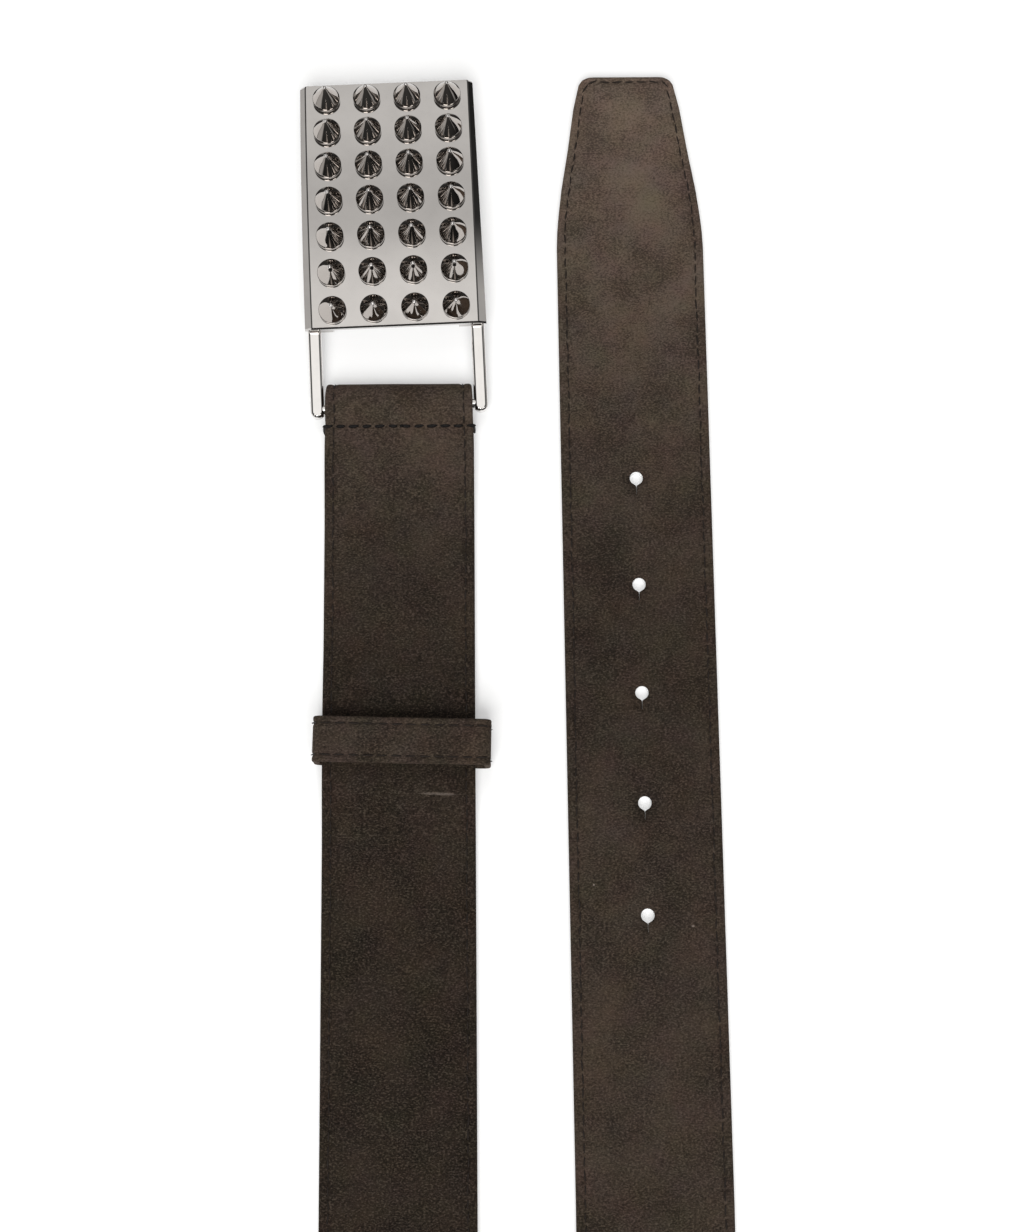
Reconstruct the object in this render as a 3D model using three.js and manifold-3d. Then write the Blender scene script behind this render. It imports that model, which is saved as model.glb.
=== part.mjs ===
// Studded belt: a suede strap laid down in a U, a plate buckle with cone studs, a bail and a keeper.
// Millimetres, +Z up, +X to the right of the belt seen from above, +Y towards the buckle's free end.
import * as THREE from 'three';
import { mergeVertices } from 'three/addons/utils/BufferGeometryUtils.js';
import Module from 'manifold-3d';

// Strap
const STRAP_WIDTH = 40;
const STRAP_THICK = 3;
const TABLE_GAP = 0.05; // under what rests on the table by itself
const STRAP_LENGTH = 985; // from the crest of the fold to the tip
const EDGE_BEVEL = 0.6; // the cut edges are rounded off by this much
const LEG_SPACING = 64.8; // between the middles of the two legs, where they start to turn
const TIP_LEAN = 0.43; // degrees, the tip's leg leans this much towards the buckle's leg
const TIP_LENGTH = 50;
const TIP_ABOVE_BAR = 94.9; // how far the tip lies past the bail's bar
const HOLE_COUNT = 5;
const HOLE_D = 3.7;
const HOLE_PITCH = 28.95;
const FIRST_HOLE_FROM_TIP = 114.8;
const TWIST_LENGTH = 150; // run in which a leg turns onto its edge

// Fold round the bail's bar
const FOLD_THICK = 2.4; // the leather is pared thinner here
const FOLD_WIDTH = 39;
const CREST_WIDTH = 38.4;
const CREST_FROM_BAR = 6.1;
const CREST_TO_STITCH = 11.4;
const UNDER_PLY_PAST_STITCH = 5.4;
const FOLD_RAMP = 24; // run in which the upper ply comes down to the table
const PLY_GAP = 0.3;

// Bail
const BAR_D = 3;
const BAR_CLEARANCE = 0.3;
const ARM_WIDTH = 3.6;
const ARM_THICK = 3.2;
const ARM_CLEARANCE = 0.8; // beside the folded strap
const ARM_END = 2.5; // past the bar's axis
const ARM_BEVEL = 0.5;
const BAR_TO_HINGE = 22.5;
const HINGE_HEIGHT = 5.9; // over the table
const KNUCKLE_D = 4;
const JOURNAL_D = 1.8;
const JOURNAL_LENGTH = 3.2;

// Plate
const PLATE_LENGTH = 70.9;
const PLATE_RADIUS = 228; // its top is a part of a cylinder of this radius
const PLATE_THICK = 2;
const PLATE_MARGIN = 0.3; // past the bail's arms at each side
const PLATE_BEVEL_WIDTH = 1.7;
const PLATE_BEVEL_DEPTH = 1.3;
const PLATE_OVERHANG = 2.1; // the plate's lower edge, past the hinge axis
const KNUCKLE_CLEARANCE = 0.3;
const LUG_WIDTH = 3;
const LUG_D = 3.8; // the lugs are also the feet that the plate stands on
const LUG_GAP = 0.3; // between a lug and its arm
const JOURNAL_CLEARANCE = 0.3; // on the diameter
const BUCKLE_SKEW = 2.26; // degrees, how far the buckle lies turned on its bar

// Studs
const STUD_ROWS = 7;
const STUD_COLUMNS = 4;
const STUD_D = 7.4;
const STUD_HEIGHT = 6.5;
const STUD_COLLAR = 1.1;
const STUD_BALL_D = 1;
const STUD_ROW_PITCH = 10.18;
const STUD_COLUMN_PITCH = 11.03;
const LAST_ROW_FROM_EDGE = 4.9; // from the lower edge of the plate
const SEAT_GAP = 0.06;

// Hook at the back of the plate
const HOOK_FROM_EDGE = 8; // from the free edge of the plate
const HOOK_NECK_CLEARANCE = 0.5; // neck in a hole
const HOOK_HEAD_OVER = 1.5; // head over a hole
const HOOK_NECK_PLAY = 1; // over the strap's thickness
const HOOK_HEAD_HEIGHT = 2.6;

// Keeper
const KEEPER_LENGTH = 11.9;
const KEEPER_WALL = 1.6;
const KEEPER_SIDE_PLAY = 3.3;
const KEEPER_HEIGHT_PLAY = 2.2; // over two thicknesses of strap
const KEEPER_CORNER = 2.6;
const KEEPER_FROM_BAR = 90.7;
const KEEPER_SHIFT = 1.05; // to the right of the strap's middle
const KEEPER_SKEW = -1.6; // degrees
const KEEPER_RAMP = 22; // run in which the strap rises over the band
const KEEPER_MARGIN = 1; // the strap lies level this far past the band
const KEEPER_GAP = 0.3;

const KEEPER_INNER_WIDTH = STRAP_WIDTH + KEEPER_SIDE_PLAY;
const KEEPER_INNER_HEIGHT = 2 * STRAP_THICK + KEEPER_HEIGHT_PLAY;
const BAR_HEIGHT = FOLD_THICK + BAR_CLEARANCE + BAR_D / 2;
const ARM_INNER = FOLD_WIDTH / 2 + ARM_CLEARANCE;
const ARM_OUTER = ARM_INNER + ARM_WIDTH;
const PLATE_WIDTH = 2 * (ARM_OUTER + PLATE_MARGIN);
const TURN_RADIUS = (LEG_SPACING + STRAP_WIDTH) / 2;
const HOLE_SIDES = 20;
const SLOPE_STEP = 0.05;
const ROUND_SIDES = 24;

// Half the strap's width near the tip: share of the tip's length from the end, share of half the width.
const TIP_OUTLINE = [
  { along: 0.0, half: 0.4 },
  { along: 0.008, half: 0.53 },
  { along: 0.024, half: 0.61 },
  { along: 0.05, half: 0.655 },
  { along: 0.19, half: 0.735 },
  { along: 0.43, half: 0.823 },
  { along: 0.66, half: 0.922 },
  { along: 0.8, half: 0.966 },
  { along: 0.9, half: 0.99 },
  { along: 1.0, half: 1.0 },
];

const radians = THREE.MathUtils.degToRad;
const wasm = await Module();
wasm.setup();

function smooth(from, to, value) {
  return THREE.MathUtils.smoothstep(value, from, to);
}

function bare(geometry) {
  const clean = geometry.clone();
  for (const name of Object.keys(clean.attributes)) {
    if (name !== 'position') clean.deleteAttribute(name);
  }
  return mergeVertices(clean, 1e-4);
}

function toSolid(geometry) {
  const merged = bare(geometry);
  const vertProperties = new Float32Array(merged.attributes.position.array);
  const triVerts = new Uint32Array(merged.index.array);
  return new wasm.Manifold(new wasm.Mesh({ numProp: 3, vertProperties, triVerts }));
}

function fromSolid(solid) {
  const mesh = solid.getMesh();
  const geometry = new THREE.BufferGeometry();
  geometry.setAttribute('position', new THREE.BufferAttribute(new Float32Array(mesh.vertProperties), 3));
  geometry.setIndex(new THREE.BufferAttribute(new Uint32Array(mesh.triVerts), 1));
  return geometry;
}

function finished(geometry) {
  const flat = geometry.index ? geometry.toNonIndexed() : geometry;
  flat.computeVertexNormals();
  return flat;
}

// Carries a section of [across, up] points along frames of { place, across, up, wide, thick }.
function sweep(section, frames) {
  const positions = [];
  for (const frame of frames) {
    for (const [a, b] of section) {
      const point = frame.place.clone();
      point.addScaledVector(frame.across, a * frame.wide);
      point.addScaledVector(frame.up, b * frame.thick);
      positions.push(point.x, point.y, point.z);
    }
  }
  const count = section.length;
  const index = [];
  for (let i = 0; i + 1 < frames.length; i += 1) {
    for (let j = 0; j < count; j += 1) {
      const k = (j + 1) % count;
      const near = i * count;
      const far = near + count;
      index.push(near + j, near + k, far + k, near + j, far + k, far + j);
    }
  }
  const outline = section.map(([a, b]) => new THREE.Vector2(a, b));
  const last = (frames.length - 1) * count;
  for (const [a, b, c] of THREE.ShapeUtils.triangulateShape(outline, [])) {
    index.push(a, c, b);
    index.push(last + a, last + b, last + c);
  }
  const geometry = new THREE.BufferGeometry();
  geometry.setAttribute('position', new THREE.Float32BufferAttribute(positions, 3));
  geometry.setIndex(index);
  return outward(geometry);
}

function outward(geometry) {
  const p = geometry.attributes.position;
  const index = geometry.index.array;
  const [a, b, c] = [new THREE.Vector3(), new THREE.Vector3(), new THREE.Vector3()];
  let volume = 0;
  for (let i = 0; i < index.length; i += 3) {
    a.fromBufferAttribute(p, index[i]);
    b.fromBufferAttribute(p, index[i + 1]);
    c.fromBufferAttribute(p, index[i + 2]);
    volume += a.dot(b.cross(c));
  }
  if (volume < 0) geometry.setIndex(Array.from(index).reverse());
  return geometry;
}

// An oblong with its four corners cut by bevel.
function bevelled(width, height, bevel) {
  const [w, h] = [width / 2, height / 2];
  return [
    [-w + bevel, -h], [w - bevel, -h], [w, -h + bevel], [w, h - bevel],
    [w - bevel, h], [-w + bevel, h], [-w, h - bevel], [-w, -h + bevel],
  ];
}

// A round bar along X.
function barAlongX(diameter, from, to, y, z) {
  const bar = new THREE.CylinderGeometry(diameter / 2, diameter / 2, to - from, ROUND_SIDES);
  bar.rotateZ(Math.PI / 2);
  bar.translate((from + to) / 2, y, z);
  return bar;
}

// How high the underside of the upper ply lies, by its distance down the leg from the bar.
function foldLift(down) {
  const overBar = FOLD_THICK + BAR_D + 2 * BAR_CLEARANCE;
  const onPly = FOLD_THICK + PLY_GAP;
  const stitch = CREST_TO_STITCH - CREST_FROM_BAR;
  const plyEnd = stitch + UNDER_PLY_PAST_STITCH;
  const toStitch = smooth(BAR_D / 4, stitch, down);
  const toTable = smooth(plyEnd, plyEnd + FOLD_RAMP, down);
  return (overBar + (onPly - overBar) * toStitch) * (1 - toTable);
}

function keeperLift(down) {
  const half = KEEPER_LENGTH / 2 + KEEPER_MARGIN;
  const away = Math.abs(down - KEEPER_FROM_BAR);
  return (KEEPER_WALL + KEEPER_GAP) * (1 - smooth(half, half + KEEPER_RAMP, away));
}

function thickShare(down) {
  const plyEnd = CREST_TO_STITCH - CREST_FROM_BAR + UNDER_PLY_PAST_STITCH;
  const thin = FOLD_THICK / STRAP_THICK;
  return thin + (1 - thin) * smooth(plyEnd, plyEnd + FOLD_RAMP, down);
}

function widthShare(down) {
  const narrow = FOLD_WIDTH / STRAP_WIDTH;
  return narrow + (1 - narrow) * smooth(0, CREST_TO_STITCH, down);
}

// The folded end: the under ply, the turn round the bar and the start of the upper ply.
function foldStations() {
  const stations = [];
  const thick = FOLD_THICK / STRAP_THICK;
  const inner = BAR_D / 2 + BAR_CLEARANCE;
  const radius = inner + FOLD_THICK / 2;
  const centre = CREST_FROM_BAR - inner - FOLD_THICK;
  const wide = FOLD_WIDTH / STRAP_WIDTH;
  const crest = CREST_WIDTH / STRAP_WIDTH;
  const plyEnd = CREST_FROM_BAR - CREST_TO_STITCH - UNDER_PLY_PAST_STITCH;
  stations.push({ y: plyEnd, z: FOLD_THICK / 2, thick, wide });
  stations.push({ y: 0, z: FOLD_THICK / 2, thick, wide });
  const steps = 12;
  for (let i = 0; i <= steps; i += 1) {
    const angle = -Math.PI / 2 + (Math.PI * i) / steps;
    const y = centre + radius * Math.cos(angle);
    const z = BAR_HEIGHT + radius * Math.sin(angle);
    stations.push({ y, z, thick, wide: wide + (crest - wide) * Math.cos(angle) });
  }
  return stations;
}

function twistHeight(turn) {
  return (STRAP_WIDTH / 2) * Math.sin(turn) + (STRAP_THICK / 2) * Math.cos(turn);
}

// Middle line of the strap, from the under ply's end to the tip, with the turn of its face.
function strapStations() {
  const stations = foldStations().map((s) => ({ x: 0, turn: 0, ...s }));
  const stepDown = (down) => {
    const thick = thickShare(down);
    const lift = (d) => foldLift(d) + keeperLift(d);
    const slope = (lift(down + SLOPE_STEP) - lift(down - SLOPE_STEP)) / (2 * SLOPE_STEP);
    const z = lift(down) + ((thick * STRAP_THICK) / 2) * Math.hypot(1, slope);
    stations.push({ x: 0, y: -down, z, turn: 0, thick, wide: widthShare(down) });
  };
  const stitch = CREST_TO_STITCH - CREST_FROM_BAR;
  const plyEnd = stitch + UNDER_PLY_PAST_STITCH;
  const reach = KEEPER_LENGTH / 2 + KEEPER_MARGIN + KEEPER_RAMP;
  const runs = [
    [0, (stitch + plyEnd) / 2, 14],
    [plyEnd, plyEnd + FOLD_RAMP, 8],
    [KEEPER_FROM_BAR - reach, KEEPER_FROM_BAR + reach, 20],
  ];
  for (const [from, to, steps] of runs) {
    for (let i = 0; i <= steps; i += 1) stepDown(from + ((to - from) * i) / steps);
  }
  const flatEnd = flatRun();
  const steps = 20;
  const twist = (i) => {
    const share = i / steps;
    const turn = (Math.PI / 2) * smooth(0, 1, share);
    const side = (STRAP_WIDTH / 2) * (1 - Math.cos(turn));
    return { y: -flatEnd - TWIST_LENGTH * share, z: twistHeight(turn), turn, side };
  };
  for (let i = 0; i <= steps; i += 1) {
    const { y, z, turn, side } = twist(i);
    stations.push({ x: -side, y, z, turn, thick: 1, wide: 1 });
  }
  const turns = 28;
  for (let i = 1; i < turns; i += 1) {
    const angle = Math.PI + (Math.PI * i) / turns;
    const x = LEG_SPACING / 2 + TURN_RADIUS * Math.cos(angle);
    const y = -flatEnd - TWIST_LENGTH + TURN_RADIUS * Math.sin(angle);
    stations.push({ x, y, z: STRAP_WIDTH / 2, turn: Math.PI / 2, thick: 1, wide: 1 });
  }
  for (let i = steps; i >= 0; i -= 1) {
    const { y, z, turn, side } = twist(i);
    stations.push({ x: LEG_SPACING + side, y, z, turn, thick: 1, wide: 1, back: true });
  }
  for (const { along, half } of [...TIP_OUTLINE].reverse()) {
    const y = TIP_ABOVE_BAR - along * TIP_LENGTH;
    stations.push({ x: tipLegMiddle(y), y, z: STRAP_THICK / 2, turn: 0, thick: 1, wide: half, back: true });
  }
  return stations;
}

// How far down each leg stays flat, from the whole length of the strap.
function flatRun() {
  const slant = Math.hypot(TWIST_LENGTH, STRAP_WIDTH / 2);
  const rest = STRAP_LENGTH - CREST_FROM_BAR - TIP_ABOVE_BAR - 2 * slant - Math.PI * TURN_RADIUS;
  return rest / 2;
}

// The middle of the tip's leg, which leans a little.
function tipLegMiddle(y) {
  return LEG_SPACING - Math.tan(radians(TIP_LEAN)) * (y + flatRun());
}

function strapFrames() {
  const stations = strapStations();
  const points = stations.map((s) => new THREE.Vector3(s.x, s.y, s.z));
  const section = bevelled(STRAP_WIDTH, STRAP_THICK, EDGE_BEVEL);
  return stations.map((s, i) => {
    const before = points[Math.max(i - 1, 0)];
    const after = points[Math.min(i + 1, points.length - 1)];
    const along = after.clone().sub(before).normalize();
    const middle = s.back ? 1 : -1;
    let up = new THREE.Vector3(middle * Math.sin(s.turn), 0, Math.cos(s.turn));
    if (s.turn > Math.PI / 2 - 1e-6) up = new THREE.Vector3(along.y, -along.x, 0).normalize();
    let across = new THREE.Vector3().crossVectors(up, along).normalize();
    if (s.turn === 0) across = new THREE.Vector3(s.back ? -1 : 1, 0, 0);
    up = new THREE.Vector3().crossVectors(along, across).normalize();
    const frame = { place: points[i].clone(), across, up, wide: s.wide, thick: s.thick };
    if (s.turn > 0) {
      const lowest = section.map(([a, b]) => frame.place.z + a * across.z + b * up.z);
      frame.place.z -= Math.min(...lowest);
    }
    return frame;
  });
}

function strapGeometry() {
  const section = bevelled(STRAP_WIDTH, STRAP_THICK, EDGE_BEVEL);
  let strap = toSolid(sweep(section, strapFrames()));
  for (let i = 0; i < HOLE_COUNT; i += 1) {
    const punch = new THREE.CylinderGeometry(HOLE_D / 2, HOLE_D / 2, 4 * STRAP_THICK, HOLE_SIDES);
    punch.rotateX(Math.PI / 2);
    const y = TIP_ABOVE_BAR - FIRST_HOLE_FROM_TIP - i * HOLE_PITCH;
    punch.translate(tipLegMiddle(y), y, 0);
    strap = strap.subtract(toSolid(punch));
  }
  return fromSolid(strap);
}

function roundedOblong(Path, width, height, radius) {
  const [w, h] = [width / 2, height / 2];
  const path = new Path();
  path.moveTo(w - radius, -h);
  path.absarc(w - radius, -h + radius, radius, -Math.PI / 2, 0);
  path.absarc(w - radius, h - radius, radius, 0, Math.PI / 2);
  path.absarc(-w + radius, h - radius, radius, Math.PI / 2, Math.PI);
  path.absarc(-w + radius, -h + radius, radius, Math.PI, 1.5 * Math.PI);
  return path;
}

function keeperGeometry() {
  const inner = Math.max(KEEPER_CORNER - KEEPER_WALL, 0.4);
  const width = KEEPER_INNER_WIDTH + 2 * KEEPER_WALL;
  const height = KEEPER_INNER_HEIGHT + 2 * KEEPER_WALL;
  const shape = roundedOblong(THREE.Shape, width, height, KEEPER_CORNER);
  shape.holes.push(roundedOblong(THREE.Path, KEEPER_INNER_WIDTH, KEEPER_INNER_HEIGHT, inner));
  const options = { depth: KEEPER_LENGTH, bevelEnabled: false, curveSegments: 6 };
  const band = new THREE.ExtrudeGeometry(shape, options);
  band.translate(0, 0, -KEEPER_LENGTH / 2);
  band.rotateX(Math.PI / 2);
  band.rotateZ(radians(KEEPER_SKEW));
  band.translate(KEEPER_SHIFT, -KEEPER_FROM_BAR, height / 2);
  return band;
}

// One arm of the bail, flat, with round edges and a full round lower end; side is -1 or 1.
function armGeometry(side) {
  const half = ARM_WIDTH / 2 - ARM_BEVEL;
  const shape = new THREE.Shape();
  shape.moveTo(half, BAR_TO_HINGE);
  shape.lineTo(-half, BAR_TO_HINGE);
  shape.lineTo(-half, half + ARM_BEVEL - ARM_END);
  shape.absarc(0, half + ARM_BEVEL - ARM_END, half, Math.PI, 2 * Math.PI);
  const arm = new THREE.ExtrudeGeometry(shape, {
    depth: ARM_THICK - 2 * ARM_BEVEL,
    bevelEnabled: true,
    bevelThickness: ARM_BEVEL,
    bevelSize: ARM_BEVEL,
    bevelSegments: 2,
    curveSegments: 10,
  });
  arm.translate(side * (ARM_INNER + ARM_WIDTH / 2), 0, BAR_HEIGHT - ARM_THICK / 2 + ARM_BEVEL);
  const p = arm.attributes.position;
  for (let i = 0; i < p.count; i += 1) {
    const share = THREE.MathUtils.clamp(p.getY(i) / BAR_TO_HINGE, 0, 1);
    p.setZ(i, p.getZ(i) + (HINGE_HEIGHT - BAR_HEIGHT) * share);
  }
  return arm;
}

function bailGeometry() {
  const reach = ARM_INNER + ARM_WIDTH / 2;
  let bail = toSolid(barAlongX(BAR_D, -reach, reach, 0, BAR_HEIGHT));
  for (const side of [-1, 1]) {
    bail = bail.add(toSolid(armGeometry(side)));
    const outer = side * ARM_OUTER;
    const inner = side * ARM_INNER;
    const tip = side * (ARM_INNER - JOURNAL_LENGTH);
    const [low, high] = [Math.min(inner, outer), Math.max(inner, outer)];
    bail = bail.add(toSolid(barAlongX(KNUCKLE_D, low, high, BAR_TO_HINGE, HINGE_HEIGHT)));
    const middle = side * (ARM_INNER + ARM_WIDTH / 2);
    const [from, to] = [Math.min(middle, tip), Math.max(middle, tip)];
    bail = bail.add(toSolid(barAlongX(JOURNAL_D, from, to, BAR_TO_HINGE, HINGE_HEIGHT)));
  }
  return fromSolid(bail);
}

// Lies along the plate's top: distance from its lower edge to a place and its outward direction.
function onPlate(distance) {
  const half = PLATE_LENGTH / 2;
  const angle = (distance - half) / PLATE_RADIUS;
  const bottom = KNUCKLE_D / 2 + KNUCKLE_CLEARANCE;
  const lowest = PLATE_RADIUS * Math.cos(half / PLATE_RADIUS);
  const y = PLATE_RADIUS * (Math.sin(angle) + Math.sin(half / PLATE_RADIUS)) - PLATE_OVERHANG;
  const z = PLATE_RADIUS * Math.cos(angle) - lowest + bottom + PLATE_THICK;
  return { place: new THREE.Vector3(0, y, z), up: new THREE.Vector3(0, Math.sin(angle), Math.cos(angle)) };
}

// The turn about the hinge at which the hook's head just stands on the table.
function restTurn() {
  const p = hookAboutHinge().attributes.position;
  let [low, high] = [-0.5, 0.5];
  for (let step = 0; step < 40; step += 1) {
    const turn = (low + high) / 2;
    let lowest = Infinity;
    for (let i = 0; i < p.count; i += 1) {
      lowest = Math.min(lowest, p.getY(i) * Math.sin(turn) + p.getZ(i) * Math.cos(turn));
    }
    if (lowest + HINGE_HEIGHT > TABLE_GAP) high = turn;
    else low = turn;
  }
  return (low + high) / 2;
}

// Sets what was modelled about the hinge axis in its place, with the hook on the table.
function onHinge(geometry) {
  geometry.rotateX(restTurn());
  geometry.translate(0, BAR_TO_HINGE, HINGE_HEIGHT);
  return geometry;
}

function plateGeometry() {
  const half = PLATE_WIDTH / 2;
  const face = half - PLATE_BEVEL_WIDTH;
  const section = [
    [-half, -PLATE_THICK],
    [half, -PLATE_THICK],
    [half, -PLATE_BEVEL_DEPTH],
    [face, 0],
    [-face, 0],
    [-half, -PLATE_BEVEL_DEPTH],
  ];
  const frames = [];
  const steps = 24;
  for (let i = 0; i <= steps; i += 1) {
    const { place, up } = onPlate((PLATE_LENGTH * i) / steps);
    frames.push({ place, across: new THREE.Vector3(1, 0, 0), up, wide: 1, thick: 1 });
  }
  let plate = toSolid(sweep(section, frames));
  for (const side of [-1, 1]) plate = plate.add(toSolid(lugGeometry(side)));
  return onHinge(fromSolid(plate));
}

function lugGeometry(side) {
  const radius = LUG_D / 2;
  const top = KNUCKLE_D / 2 + KNUCKLE_CLEARANCE + PLATE_THICK / 2;
  const foot = TABLE_GAP + radius - HINGE_HEIGHT;
  const shape = new THREE.Shape();
  shape.moveTo(-radius, top);
  shape.lineTo(-radius, foot);
  shape.absarc(0, foot, radius, Math.PI, 2 * Math.PI);
  shape.lineTo(radius, top);
  const bore = new THREE.Path();
  bore.absarc(0, 0, (JOURNAL_D + JOURNAL_CLEARANCE) / 2, 0, 2 * Math.PI, true);
  shape.holes.push(bore);
  const options = { depth: LUG_WIDTH, bevelEnabled: false, curveSegments: 16 };
  const lug = new THREE.ExtrudeGeometry(shape, options);
  lug.rotateX(Math.PI / 2);
  lug.rotateZ(Math.PI / 2);
  const inner = ARM_INNER - LUG_GAP - LUG_WIDTH;
  lug.translate(side > 0 ? inner : -inner - LUG_WIDTH, 0, 0);
  return lug;
}

function studGeometry(row, column) {
  const radius = STUD_D / 2;
  const ball = STUD_BALL_D / 2;
  const ballCentre = STUD_HEIGHT - ball;
  const profile = [
    [0, 0],
    [radius, 0],
    [radius, STUD_COLLAR * 0.8],
    [radius * 0.95, STUD_COLLAR],
    [ball * 0.9, ballCentre],
    [ball * 0.7, ballCentre + ball * 0.7],
    [0, STUD_HEIGHT],
  ];
  const stud = new THREE.LatheGeometry(profile.map(([r, h]) => new THREE.Vector2(r, h)), 16);
  stud.rotateX(Math.PI / 2);
  const distance = LAST_ROW_FROM_EDGE + (STUD_ROWS - row) * STUD_ROW_PITCH;
  const { place, up } = onPlate(distance);
  const turn = new THREE.Quaternion().setFromUnitVectors(new THREE.Vector3(0, 0, 1), up);
  stud.applyQuaternion(turn);
  const x = (column - (STUD_COLUMNS + 1) / 2) * STUD_COLUMN_PITCH;
  stud.translate(x, place.y + up.y * SEAT_GAP, place.z + up.z * SEAT_GAP);
  return onHinge(stud);
}

function hookAboutHinge() {
  const neck = (HOLE_D - HOOK_NECK_CLEARANCE) / 2;
  const head = (HOLE_D + HOOK_HEAD_OVER) / 2;
  const drop = STRAP_THICK + HOOK_NECK_PLAY;
  const end = drop + HOOK_HEAD_HEIGHT;
  const profile = [
    [0, 0],
    [neck, 0],
    [neck, drop],
    [head, drop + HOOK_HEAD_HEIGHT * 0.35],
    [head, drop + HOOK_HEAD_HEIGHT * 0.65],
    [head * 0.6, end],
    [0, end],
  ];
  const hook = new THREE.LatheGeometry(profile.map(([r, h]) => new THREE.Vector2(r, h)), 20);
  hook.rotateX(-Math.PI / 2);
  const { place, up } = onPlate(PLATE_LENGTH - HOOK_FROM_EDGE);
  hook.applyQuaternion(new THREE.Quaternion().setFromUnitVectors(new THREE.Vector3(0, 0, 1), up));
  const depth = PLATE_THICK + SEAT_GAP;
  hook.translate(0, place.y - up.y * depth, place.z - up.z * depth);
  return hook;
}

function suede() {
  return new THREE.MeshStandardMaterial({ color: 0x4f4640, roughness: 0.95, metalness: 0 });
}

function gunmetal() {
  return new THREE.MeshStandardMaterial({ color: 0xa8a39f, roughness: 0.18, metalness: 1 });
}

function named(name, geometry, material) {
  const mesh = new THREE.Mesh(finished(bare(geometry)), material);
  mesh.name = name;
  return mesh;
}

function buckleMeshes() {
  const meshes = [
    named('bail', bailGeometry(), gunmetal()),
    named('buckle_plate', plateGeometry(), gunmetal()),
    named('hook', onHinge(hookAboutHinge()), gunmetal()),
  ];
  for (let row = 1; row <= STUD_ROWS; row += 1) {
    for (let column = 1; column <= STUD_COLUMNS; column += 1) {
      meshes.push(named(`stud_r${row}_c${column}`, studGeometry(row, column), gunmetal()));
    }
  }
  for (const mesh of meshes) mesh.geometry.rotateZ(radians(BUCKLE_SKEW));
  return meshes;
}

function belt() {
  const group = new THREE.Group();
  group.name = 'studded_belt';
  group.add(named('strap', strapGeometry(), suede()));
  group.add(named('keeper', keeperGeometry(), suede()));
  for (const mesh of buckleMeshes()) group.add(mesh);
  const box = new THREE.Box3().setFromObject(group);
  const middle = box.getCenter(new THREE.Vector3());
  for (const mesh of group.children) mesh.geometry.translate(-middle.x, -middle.y, -box.min.z);
  return group;
}

export default belt();
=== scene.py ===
# %% [markdown]
# # A studded belt, dressed in Blender
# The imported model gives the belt's frame: a suede strap laid down in a U, a plate buckle with
# cone studs, the bail that joins the two, and a loose keeper. Every piece below stands in that
# same frame, in metres, and rides on one of its bodies. The strap is one body with the keeper,
# the bail swings on it, and the buckle swings on the bail.

# %% Load the frame
import math

import bmesh
import bpy
import numpy as np
from mathutils import Matrix, Vector


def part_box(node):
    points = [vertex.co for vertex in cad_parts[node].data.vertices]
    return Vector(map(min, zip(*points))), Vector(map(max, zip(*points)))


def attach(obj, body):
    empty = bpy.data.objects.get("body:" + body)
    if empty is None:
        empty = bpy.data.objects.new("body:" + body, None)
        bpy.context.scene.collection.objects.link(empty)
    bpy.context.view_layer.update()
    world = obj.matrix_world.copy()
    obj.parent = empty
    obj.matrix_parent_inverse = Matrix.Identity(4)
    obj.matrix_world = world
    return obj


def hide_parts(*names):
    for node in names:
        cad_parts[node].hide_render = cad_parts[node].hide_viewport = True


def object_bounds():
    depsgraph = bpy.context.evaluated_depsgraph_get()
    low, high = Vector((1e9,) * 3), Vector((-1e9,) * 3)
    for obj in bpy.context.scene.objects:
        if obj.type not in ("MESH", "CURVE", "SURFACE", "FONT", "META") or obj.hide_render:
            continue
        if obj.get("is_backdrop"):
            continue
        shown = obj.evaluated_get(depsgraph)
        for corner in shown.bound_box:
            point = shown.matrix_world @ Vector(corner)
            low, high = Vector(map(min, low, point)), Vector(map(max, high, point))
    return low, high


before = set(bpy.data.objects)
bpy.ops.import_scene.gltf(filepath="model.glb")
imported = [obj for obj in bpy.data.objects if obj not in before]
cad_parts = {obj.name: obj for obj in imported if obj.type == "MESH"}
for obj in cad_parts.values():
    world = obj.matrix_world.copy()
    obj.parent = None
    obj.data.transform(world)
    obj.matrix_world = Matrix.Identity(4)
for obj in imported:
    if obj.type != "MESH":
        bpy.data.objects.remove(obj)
cad_low, cad_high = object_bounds()
MM = 0.001
print("box in mm:", [round((b - a) / MM, 1) for a, b in zip(cad_low, cad_high)])

# %% [markdown]
# ## The camera and the studio
# The belt was photographed from straight above, with a lens about half a metre over the table.
# A camera can be set by eye until edges match, but a perspective view fixes its own place: tall
# things lean outwards by their height, so only one place suits the strap and the studs at once.

# %% Camera over the table
camera = bpy.data.objects.new("camera", bpy.data.cameras.new("camera"))
bpy.context.scene.collection.objects.link(camera)
bpy.context.scene.camera = camera
CAMERA_AT, CAMERA_TURN, CAMERA_LENS = (-2.78, 10.93, 524.03), (9.8731, -0.2912, -0.4396), 58.44
camera.location = Vector(CAMERA_AT) * MM
camera.rotation_euler = [math.radians(a) for a in CAMERA_TURN]
camera.data.sensor_width = 36
camera.data.lens = CAMERA_LENS
camera.data.clip_start = 0.01
bpy.context.scene.view_settings.view_transform = "Standard"
print("camera height in mm:", round(camera.location.z / MM))

# %% [markdown]
# ## Sums on sockets
# Materials and Geometry Nodes are both networks of small sums, and a network built node by node
# is hard to read. A class that holds one output and knows how to add and multiply lets a mask be
# written as an expression, such as 1 - mask. Every other node comes from one method.

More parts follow.
